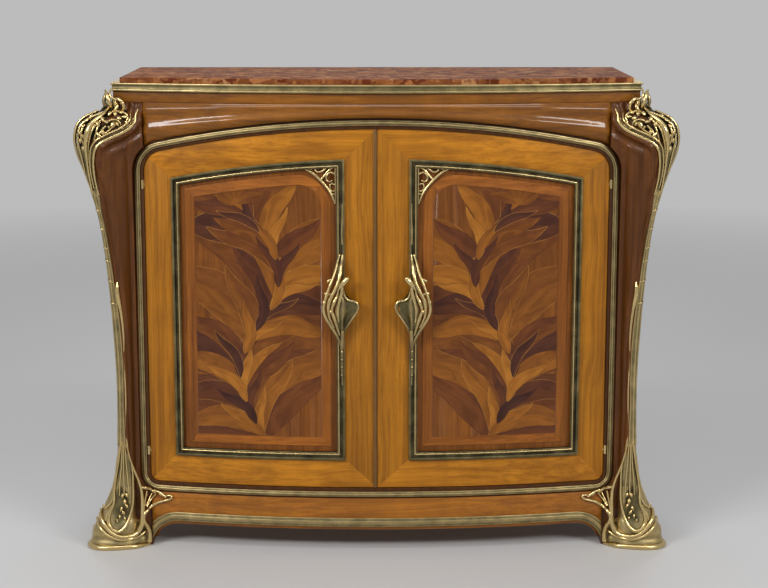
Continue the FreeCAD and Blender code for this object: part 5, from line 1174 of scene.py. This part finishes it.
# The openwork bracket: x, z and radius of each knot.
BRACKET = (
    ((94, 915, 2.6), (110, 917, 2.4), (135, 914, 2.4), (163, 909, 2)),
    ((94, 917, 2.6), (94, 890, 2.4), (94, 860, 2.2), (94, 828, 1.6)),
    ((163, 908, 2.4), (146, 898, 3.2), (129, 883, 3.6), (114, 866, 3.2), (102, 846, 2.6), (95, 828, 1.8)),
    ((96, 896, 1.8), (104, 900, 2.4), (112, 896, 2.6), (115, 886, 2.4), (109, 879, 2), (101, 882, 1.6)),
    ((112, 915, 1.8), (120, 906, 2.4), (130, 901, 2.6), (139, 904, 2), (140, 911, 1.6)),
    ((96, 872, 1.7), (104, 874, 2.2), (107, 866, 2.2), (103, 858, 1.8), (97, 858, 1.4)),
    ((98, 912, 1.8), (108, 906, 2.6), (119, 893, 2.8), (127, 884, 2.4)),
    ((96, 850, 1.4), (101, 850, 1.7), (102, 843, 1.6)),
    ((142, 914, 1.4), (148, 908, 1.9), (156, 908, 1.6)),
)


BRACKET_STAND = DOOR_STAND - 6
BRACKET_LIFT = 4


def bracket_piece():
    """Openwork of tendrils in the panel's upper corner."""
    runs = [[(on_bow(BRACKET_STAND, x, z, BRACKET_LIFT), radius) for x, z, radius in run] for run in BRACKET]
    return strands("right_door_corner_bracket_cast", runs, 3, 0.6)


# How far the bead lies inside the panel moulding's box, at its sides and at its crown.
BEAD_INSET = 14.5
BEAD_CROWN_INSET = 13.3
BEAD_RADIUS = 1.7


def panel_bead():
    """The polished bead along the inner edge of the panel moulding."""
    (near, front, low), (far, _, crown) = [
        [value / MM for value in corner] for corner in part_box("right_door_panel_moulding")]
    near, low, far, crown = near + BEAD_INSET, low + BEAD_INSET, far - BEAD_INSET, crown - BEAD_CROWN_INSET
    corners = [(near, low), (far, low), (far, arch_z(crown, far)), (near, arch_z(crown, near))]
    runs = []
    for (x0, z0), (x1, z1) in zip(corners, corners[1:] + corners[:1]):
        run = []
        for step in range(13):
            x, z = x0 + (x1 - x0) * step / 12, z0 + (z1 - z0) * step / 12
            if z0 > low + 50 and z1 > low + 50:
                z = arch_z(crown, x)
            run.append((on_bow(-front, x, z), BEAD_RADIUS))
        runs.append(run)
    return strands("right_door_panel_bead", runs, 3, 0.45)


# The panel's raised field, its border and the border's section, from the panel's ground inwards: how far in from
# the field's edge, and how far forward of it.
FIELD_LOW, FIELD_HIGH, FIELD_NEAR, FIELD_FAR = 260.0, 897.0, 109.0, 439.1
FIELD_CORNER = 72
BORDER = 18
BORDER_SECTION = (
    (-24.5, -3.85), (-3.7, -3.85), (-3.5, -2.7), (-2.9, -2.1), (-2.1, -1.8), (-1.2, -1.75), (BORDER, 0.15),
)
BORDER_FINISHES = ("Panel border upright", "Panel border level", "Panel wood")


def arch_z(crown, x):
    """Height of an arch over the doors at a distance x from the centre line."""
    return crown - x ** 2 / (2 * BOW_RADIUS)


def field_clip(x, z, inset):
    """Keep a point inside the raised field's outline, whose upper inner corner is rounded."""
    crown = arch_z(FIELD_HIGH - inset, x)
    near, corner = FIELD_NEAR + inset, max(FIELD_CORNER - inset, 5)
    x = min(max(x, near), FIELD_FAR - inset)
    z = min(max(z, FIELD_LOW + inset), crown)
    cx, cz = near + corner, crown - corner
    away = Vector((x - cx, z - cz))
    if x < cx and z > cz and away.length > corner:
        away = away.normalized() * corner
        x, z = cx + away.x, cz + away.y
    return x, z


def widen_slope(panel):
    """Draw the edge of the panel's raised field inwards, under the border."""
    for vertex in panel.data.vertices:
        x, y, z = vertex.co / MM
        if abs(y - bow_y(FIELD_STAND, x)) < 0.06:
            side = 1 if x > 0 else -1
            x, z = field_clip(abs(x), z, BORDER)
            vertex.co = on_bow(FIELD_STAND, side * x, z) * MM
    panel.data.update()
    shaded(panel, FIELD_SHADE)


def field_outline(inset):
    """Points round the raised field: up the near side, over the rounded corner, along the arch and back."""
    near, far, low = FIELD_NEAR + inset, FIELD_FAR - inset, FIELD_LOW + inset
    corner = max(FIELD_CORNER - inset, 5)
    crown = FIELD_HIGH - inset
    top = arch_z(crown, near + corner)
    run = [(near, low + (top - corner - low) * step / 6) for step in range(6)]
    for step in range(17):
        turn = math.pi / 2 * step / 16
        run.append((near + corner * (1 - math.cos(turn)), top - corner * (1 - math.sin(turn))))
    for step in range(1, 21):
        x = near + corner + (far - near - corner) * step / 20
        run.append((x, arch_z(crown, x)))
    run += [(far, run[-1][1] + (low - run[-1][1]) * step / 6) for step in range(1, 7)]
    return run + [(far + (near - far) * step / 16, low) for step in range(1, 16)]


def border_piece():
    """The border's veneers, mitred where they meet, and the panel's ground outside them."""
    rings = [[on_bow(FIELD_STAND + forward, x, z) for x, z in field_outline(inset)]
             for inset, forward in BORDER_SECTION]
    made = bmesh.new()
    for strip, row, index in lofted(made, rings)[1]:
        along = rings[0][(index + 1) % len(rings[0])] - rings[0][index]
        strip.material_index = 2 if row == 0 else int(abs(along.x) > abs(along.z))
    piece = from_bmesh("right_door_panel_border", made)
    if sum(facet.normal.y for facet in piece.data.polygons) > 0:
        piece.data.flip_normals()
    for finish in BORDER_FINISHES:
        piece.data.materials.append(bpy.data.materials[finish])
    return shaded(piece, BORDER_SHADE)


# Inlay: generic climbing leaves of the builder's own, cut from many veneers. The climbing stem, from root to crown,
# and the leaves in three layers: every row gives the share of the stem where leaves start, their length, width,
# opening from the stem and bend in degrees, and their tone.
STEM_LINE = (
    (262, 270), (300, 350), (318, 440), (280, 530), (232, 610), (232, 700), (284, 780), (330, 840),
)
LEAF_ROWS = (
    ((0.0, 270, 96, 62, 60, 0.3), (0.12, 270, 96, 66, 66, 0.46), (0.25, 280, 100, 66, 70, 0.28),
     (0.38, 270, 96, 64, 70, 0.5), (0.52, 270, 96, 62, 66, 0.34), (0.66, 250, 92, 60, 60, 0.5),
     (0.8, 220, 84, 52, 50, 0.3), (0.93, 170, 76, 40, 40, 0.46)),
    ((0.02, 220, 54, 50, 80, 0.66), (0.11, 210, 50, 46, 84, 0.3), (0.2, 216, 52, 48, 76, 0.72),
     (0.29, 200, 48, 44, 84, 0.4), (0.38, 214, 50, 48, 78, 0.62), (0.47, 200, 48, 44, 82, 0.2),
     (0.56, 206, 50, 46, 76, 0.7), (0.65, 190, 46, 42, 76, 0.36), (0.75, 176, 44, 38, 66, 0.6),
     (0.86, 150, 40, 32, 56, 0.3)),
    ((0.0, 140, 26, 26, 60, 0.82), (0.07, 130, 22, 22, 74, 0.1), (0.16, 144, 26, 26, 70, 0.86),
     (0.25, 130, 22, 20, 70, 0.14), (0.34, 140, 26, 24, 74, 0.8), (0.43, 130, 22, 20, 70, 0.08),
     (0.52, 138, 24, 24, 70, 0.84), (0.61, 122, 22, 20, 66, 0.16), (0.71, 120, 22, 20, 60, 0.78),
     (0.82, 104, 20, 18, 50, 0.12), (0.93, 90, 18, 14, 40, 0.7)),
)
CROWN_LEAVES = (322, 826)

# How far each leaf lies over the one before, in millimetres.
LAYER_LIFT = 0.011
LEAF_STEPS = 18
ACROSS = (-1, -0.55, 0, 0.55, 1)


def veneer(mesh, root, heading, size, width, bend, tones, lift, grow=0.0):
    """One leaf that starts at root, points along heading and bends as it goes: two veneers with a seam between."""
    direction = heading - bend / 2
    here = Vector(root)
    tone_layer = mesh.loops.layers.float_color["tone"]
    grain_layer = mesh.loops.layers.uv["grain"]
    rows = []
    for step in range(LEAF_STEPS + 1):
        share = step / LEAF_STEPS
        half = (width / 2) * math.sin(math.pi * min(max(share, 0.012), 0.988) ** 0.8) ** 0.85 + grow
        forward = Vector((math.cos(direction), math.sin(direction)))
        side = Vector((-forward.y, forward.x))
        row = []
        for across in ACROSS:
            flat = here + side * (half * across) + forward * (grow * (2 * share - 1))
            x, z = field_clip(flat.x, flat.y, BORDER + 2)
            row.append((mesh.verts.new(on_bow(FIELD_STAND, x, z, lift) * MM), across * half, share * size))
        rows.append(row)
        here = here + forward * (size / LEAF_STEPS)
        direction += bend / LEAF_STEPS * (1.5 if share < 0.6 else -1.1)
    for low, high in zip(rows, rows[1:]):
        for left in range(len(ACROSS) - 1):
            corners = (low[left], low[left + 1], high[left + 1], high[left])
            made = mesh.faces.new([corner[0] for corner in corners])
            tone = tones[0] if left < 2 else tones[1]
            for loop, corner in zip(made.loops, corners):
                loop[tone_layer] = (tone, corner[2] / size, abs(corner[1]) / max(width, 1), 1)
                loop[grain_layer].uv = ((corner[1] + root[0] * 3.1) * MM, (corner[2] + root[1] * 1.7) * MM)


def inlay_piece():
    mesh = bmesh.new()
    mesh.loops.layers.float_color.new("tone")
    mesh.loops.layers.uv.new("grain")
    lift = bpy.context.scene.cabinet_sizes.inlay_lift / MM
    last = len(STEM_LINE) - 1
    stem = spline([Vector((x, z, 0)) for x, z in STEM_LINE], [i / last for i in range(last + 1)], 100)
    layer = 0
    for rows in LEAF_ROWS:
        for share, size, width, opening, bend, tone in rows:
            index = min(int(share * 100), 98)
            along = stem[index + 1] - stem[index]
            for side in (1, -1):
                sway = math.sin(share * 37 + side * 1.3 + len(rows))
                turn = math.atan2(along.y, along.x) + side * math.radians(opening + 9 * sway)
                curve = side * math.radians(bend + 12 * sway) * (1 if side > 0 else 0.85)
                leaf = (mesh, (stem[index].x, stem[index].y), turn, size * (1 + 0.12 * sway), width, curve)
                shades = [min(max(tone + 0.1 * sway + step, 0.02), 0.92) for step in (0.0, 0.09 * side)]
                rim = 1.0 if layer % 3 == 1 else 0.0
                veneer(*leaf, (rim, rim), lift + LAYER_LIFT * layer, 0.5)
                veneer(*leaf, shades, lift + LAYER_LIFT * (layer + 0.5))
                layer += 1
    for index in range(5):
        turn = math.radians(30 + index * 32)
        veneer(mesh, CROWN_LEAVES, turn, 70, 24, 0.5, (0.6, 0.45), lift + LAYER_LIFT * layer)
        layer += 1
    bmesh.ops.dissolve_degenerate(mesh, dist=WELD * MM, edges=mesh.edges)
    piece = from_bmesh("right_door_inlay", mesh)
    select_only(piece)
    edit_all((bpy.ops.mesh.normals_make_consistent, {"inside": False}))
    if piece.data.polygons[0].normal.y > 0:
        piece.data.flip_normals()
    return piece


# The pieces that stand as rounded copies: each finish's nodes, the size that rounds their edges and how much of it.
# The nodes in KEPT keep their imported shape.
SKINS = {
    "Breccia marble": (("marble_top",), None, 0),
    "Post wood": (("right_rear_post", "left_rear_post", "right_side_rails", "left_side_rails", "right_side_panel",
                   "left_side_panel"), "wood_round", 1),
    "Frieze wood": (("frieze_band",), "wood_round", 2),
    "Apron wood, lit": (("apron_rail",), "wood_round", 2),
    "Jamb wood and painted shade": (("left_door_jamb", "right_door_jamb", "door_frame_head", "door_frame_sill"), "wood_round", 1),
    "Door wood upright, shaded": (("right_door_hinge_stile", "left_door_hinge_stile", "right_door_meeting_stile",
                           "left_door_meeting_stile"), "wood_round", 0.4),
    "Door wood level": (("right_door_top_rail", "left_door_top_rail", "right_door_bottom_rail",
                         "left_door_bottom_rail"), "wood_round", 0.4),
    "Bead brass": (("left_door_meeting_bead",), "wood_round", 1),
    "Moulding brass": (("cornice_moulding", "opening_moulding", "apron_moulding"), "moulding_round", 1),
    "Panel brass": (("right_door_panel_moulding", "left_door_panel_moulding"), "moulding_round", 1),
}
KEPT = {
    "Inner wood level": ("top_board", "frieze_rail", "bottom_board", "shelf", "shelf_bearers"),
    "Inner wood upright": ("back_rails", "back_panel"),
    "Hinge brass": ("frame_hinges", "left_door_hinge_leaves", "right_door_hinge_leaves", "left_door_top_bolt",
                    "left_door_bottom_bolt"),
    "Lock steel": ("right_door_lock_case", "right_door_lock_bolt"),
}


class MakesPiece:
    """What every piece's operator shares."""
    bl_options = {"REGISTER", "UNDO"}


class CABINET_OT_finishes(MakesPiece, bpy.types.Operator):
    """Make the woods, brasses, marble and inlay materials"""
    bl_idname = "cabinet.finishes"
    bl_label = "Finishes"

    def execute(self, context):
        c = context.scene.cabinet_colours
        wood_grain_group()
        worn_brass_and_light_group()
        flat = (0, math.pi / 2, 0)
        # The stiles are the door veneer at four fifths: painted shade, as the light falls from above onto the rails.
        wood("Door wood upright, shaded", [v * 0.8 for v in c.door_wood], stripe=0.75)
        wood("Door wood level", c.door_wood, flat, figure=0.9, stripe=0.5)
        wood("Post wood", c.post_wood, figure=0.9, stripe=1.0, coat=0.25)
        wood("Frieze wood", c.frieze_wood, flat, figure=0.9, stripe=0.8, coat=0.4)
        # The apron is the frieze's wood half again as bright: painted light on a roll that catches it.
        wood("Apron wood, lit", [v * 1.5 for v in c.frieze_wood], flat, figure=0.9, stripe=0.6, coat=0.4)
        # The jambs are the post wood at six tenths: a darker wood and painted shade in the gap between moulding and
        # door.
        wood("Jamb wood and painted shade", [v * 0.6 for v in c.post_wood], figure=0.4, coat=0.15)
        wood("Panel wood", c.panel_wood, figure=0.9, stripe=0.7)
        wood("Panel border upright", [v * 1.35 for v in c.panel_wood], figure=0.8, stripe=0.9)
        wood("Panel border level", [v * 1.6 for v in c.panel_wood], flat, figure=0.8, stripe=0.8)
        wood("Inner wood upright", c.inner_wood, gloss=0.5, coat=0.0)
        wood("Inner wood level", c.inner_wood, flat, gloss=0.5, coat=0.0)
        brass("Moulding brass", c.old_brass, c.bright_brass, 0.2)
        # The panel mouldings' level is below zero, which mixes them more than halfway towards the near-black painted
        # shade.
        brass("Panel brass", c.old_brass, c.bright_brass, -0.42)
        brass("Bead brass", [v * g for v, g in zip(c.old_brass, (1.2, 0.8, 0.6))],
              [v * g for v, g in zip(c.bright_brass, (0.5, 0.35, 0.3))], 0.1)
        brass("Hinge brass", c.old_brass, c.bright_brass, 0.45)
        brass("Cast brass", c.old_brass, c.bright_brass)
        steel()
        marble(c.marble)
        inlay_material()
        return {"FINISHED"}


class CABINET_OT_joinery(MakesPiece, bpy.types.Operator):
    """Dress the boards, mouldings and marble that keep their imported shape"""
    bl_idname = "cabinet.joinery"
    bl_label = "Joinery, mouldings and marble"

    def execute(self, context):
        sizes = context.scene.cabinet_sizes
        for finish, (names, size, share) in SKINS.items():
            for node in names:
                skin(node, finish, share * getattr(sizes, size) if size else 0.0)
        for side in SIDES:
            widen_slope(skin(side + "_door_panel", "Panel wood"))
        add_pair(border_piece(), "panel_border", None)
        for finish, names in KEPT.items():
            for node in names:
                NODES[node].data.materials.clear()
                NODES[node].data.materials.append(bpy.data.materials[finish])
        return {"FINISHED"}


class CABINET_OT_frieze(MakesPiece, bpy.types.Operator):
    """Shape the swollen frieze over the doors"""
    bl_idname = "cabinet.frieze"
    bl_label = "Frieze"

    def execute(self, context):
        stand_in(frieze_pillow(), "Frieze wood", "frieze_pillow")
        return {"FINISHED"}


class CABINET_OT_posts(MakesPiece, bpy.types.Operator):
    """Shape the two S-curved front posts"""
    bl_idname = "cabinet.posts"
    bl_label = "Front posts"

    def execute(self, context):
        finish_pair(front_post(), "front_post", "Post wood")
        return {"FINISHED"}


class CABINET_OT_capitals(MakesPiece, bpy.types.Operator):
    """Cast the openwork capitals with their scrolls"""
    bl_idname = "cabinet.capitals"
    bl_label = "Capitals"

    def execute(self, context):
        finish_pair(capital_piece(), "capital", "Cast brass")
        return {"FINISHED"}


class CABINET_OT_stems(MakesPiece, bpy.types.Operator):
    """Cast the reeded stems that clothe the posts' corners"""
    bl_idname = "cabinet.stems"
    bl_label = "Corner stems"

    def execute(self, context):
        finish_pair(stem_piece(), "corner_stem", "Cast brass")
        return {"FINISHED"}


class CABINET_OT_sabots(MakesPiece, bpy.types.Operator):
    """Cast the sabots with their bud stems and side arms"""
    bl_idname = "cabinet.sabots"
    bl_label = "Sabots"

    def execute(self, context):
        finish_pair(sabot_piece(), "sabot", "Cast brass")
        return {"FINISHED"}


class CABINET_OT_handles(MakesPiece, bpy.types.Operator):
    """Cast the twig handles, the right one with its keyhole"""
    bl_idname = "cabinet.handles"
    bl_label = "Handles"

    def execute(self, context):
        bars, pad = handle_piece()
        keyhole_cut(pad)
        stand_in(joined("right_door_handle_cast", bars, pad), "Cast brass", "right_door_handle")
        blank = joined("left_handle_blank", *handle_piece())
        left = mirrored(blank, "left_door_handle_cast")
        bpy.data.objects.remove(blank)
        stand_in(left, "Cast brass", "left_door_handle")
        return {"FINISHED"}


class CABINET_OT_beads(MakesPiece, bpy.types.Operator):
    """Run a polished bead round the inner edge of the panel mouldings"""
    bl_idname = "cabinet.beads"
    bl_label = "Panel beads"

    def execute(self, context):
        add_pair(panel_bead(), "panel_bead", "Cast brass")
        return {"FINISHED"}


class CABINET_OT_brackets(MakesPiece, bpy.types.Operator):
    """Cast the openwork brackets in the panels' upper corners"""
    bl_idname = "cabinet.brackets"
    bl_label = "Corner brackets"

    def execute(self, context):
        finish_pair(bracket_piece(), "door_corner_bracket", "Cast brass")
        return {"FINISHED"}


class CABINET_OT_inlay(MakesPiece, bpy.types.Operator):
    """Inlay climbing leaves in the two raised fields"""
    bl_idname = "cabinet.inlay"
    bl_label = "Inlay"

    def execute(self, context):
        add_pair(inlay_piece(), "inlay", "Inlaid veneers")
        return {"FINISHED"}


# Name, place, aim, width, height and power of each lamp.
LAMPS = (
    ("key light", (-2.4, -3.0, 2.4), (0, -0.1, 0.7), 1.6, 0.5, 80),
    ("fill light", (2.6, -3.0, 2.3), (0, -0.1, 0.7), 1.6, 0.5, 66),
    ("strip light", (0.0, -2.4, 3.4), (0, -0.1, 0.9), 3.2, 0.35, 36),
    ("rim light", (0.0, 2.6, 3.0), (0, 0.3, 0.6), 3.0, 1.0, 45),
)
PALE = (0.50, 0.50, 0.505, 1)
SHADE = (0.15, 0.15, 0.155, 1)
FLOOR_SIZE = 40

# The camera's place, how far it looks down and aside in degrees, and its lens in millimetres.
EYE = (0, -4.288, 1.392)
EYE_DOWN, EYE_ASIDE = 10.68, -0.2275
LENS = 85.0


class CABINET_OT_stage(MakesPiece, bpy.types.Operator):
    """Set the pale floor, the soft lights and the camera"""
    bl_idname = "cabinet.stage"
    bl_label = "Stage"

    def execute(self, context):
        scene = context.scene
        bpy.ops.object.select_all(action="DESELECT")
        bpy.ops.mesh.primitive_plane_add(size=FLOOR_SIZE, location=(0, 0, 0))
        floor = context.view_layer.objects.active
        floor.name = "floor"
        material, make, shader, place = start_material("Pale floor")
        cloud = make.noise(place, 0.6, 3)
        make.feed(shader, Base_Color=make.mix(cloud, (0.62, 0.62, 0.62, 1), (0.68, 0.68, 0.68, 1)), Roughness=0.6)
        away = make.add("VectorMath", {"operation": "LENGTH"}, i0=place).outputs["Value"]
        fade = make.maths("MULTIPLY", make.seen(), make.spread(away, 1.4, 6.0))
        pale = make.add("Emission", Color=PALE, Strength=1.0).outputs[0]
        blend = make.add("MixShader", i0=fade, i1=shader.outputs[0], i2=pale).outputs[0]
        make.feed(material.node_tree.nodes["Material Output"], Surface=blend)
        floor.data.materials.append(material)
        scene.world = bpy.data.worlds.new("Studio")
        scene.world.use_nodes = True
        make = Tree(scene.world.node_tree)
        make.feed(scene.world.node_tree.nodes["Background"], Color=make.mix(make.seen(), SHADE, PALE), Strength=1.0)
        for name, place, aim, width, height, power in LAMPS:
            lamp = bpy.data.lights.new(name, "AREA")
            lamp.shape = "RECTANGLE"
            lamp.size, lamp.size_y, lamp.energy = width, height, power
            holder = new_object(name, lamp)
            holder.location = place
            holder.rotation_euler = (Vector(aim) - Vector(place)).to_track_quat("-Z", "Y").to_euler()
        eye = bpy.data.cameras.new("camera")
        eye.lens = LENS
        eye.sensor_width = 36
        camera = new_object("camera", eye)
        camera.location = EYE
        camera.rotation_euler = (math.radians(90 - EYE_DOWN), 0, math.radians(EYE_ASIDE))
        scene.camera = camera
        scene.view_settings.view_transform = "Standard"
        return {"FINISHED"}


STEPS = (
    CABINET_OT_finishes, CABINET_OT_joinery, CABINET_OT_frieze, CABINET_OT_posts, CABINET_OT_capitals,
    CABINET_OT_stems, CABINET_OT_sabots, CABINET_OT_handles, CABINET_OT_beads, CABINET_OT_brackets,
    CABINET_OT_inlay, CABINET_OT_stage,
)


class CABINET_PT_panel(bpy.types.Panel):
    """Sizes, colours and steps of the cabinet"""
    bl_label = "Cabinet"
    bl_idname = "CABINET_PT_panel"
    bl_space_type = "VIEW_3D"
    bl_region_type = "UI"
    bl_category = "Cabinet"

    def draw(self, context):
        for settings in (context.scene.cabinet_sizes, context.scene.cabinet_colours):
            for name in settings.__annotations__:
                self.layout.prop(settings, name)
        for step in STEPS:
            self.layout.operator(step.bl_idname)


CLASSES = (CabinetColours, CabinetSizes) + STEPS + (CABINET_PT_panel,)


def register():
    for made in CLASSES:
        bpy.utils.register_class(made)
    bpy.types.Scene.cabinet_colours = PointerProperty(type=CabinetColours)
    bpy.types.Scene.cabinet_sizes = PointerProperty(type=CabinetSizes)


def unregister():
    del bpy.types.Scene.cabinet_sizes
    del bpy.types.Scene.cabinet_colours
    for made in reversed(CLASSES):
        bpy.utils.unregister_class(made)


def main():
    register()
    for step in STEPS:
        family, name = step.bl_idname.split(".")
        getattr(getattr(bpy.ops, family), name)()


if __name__ == "__main__":
    main()
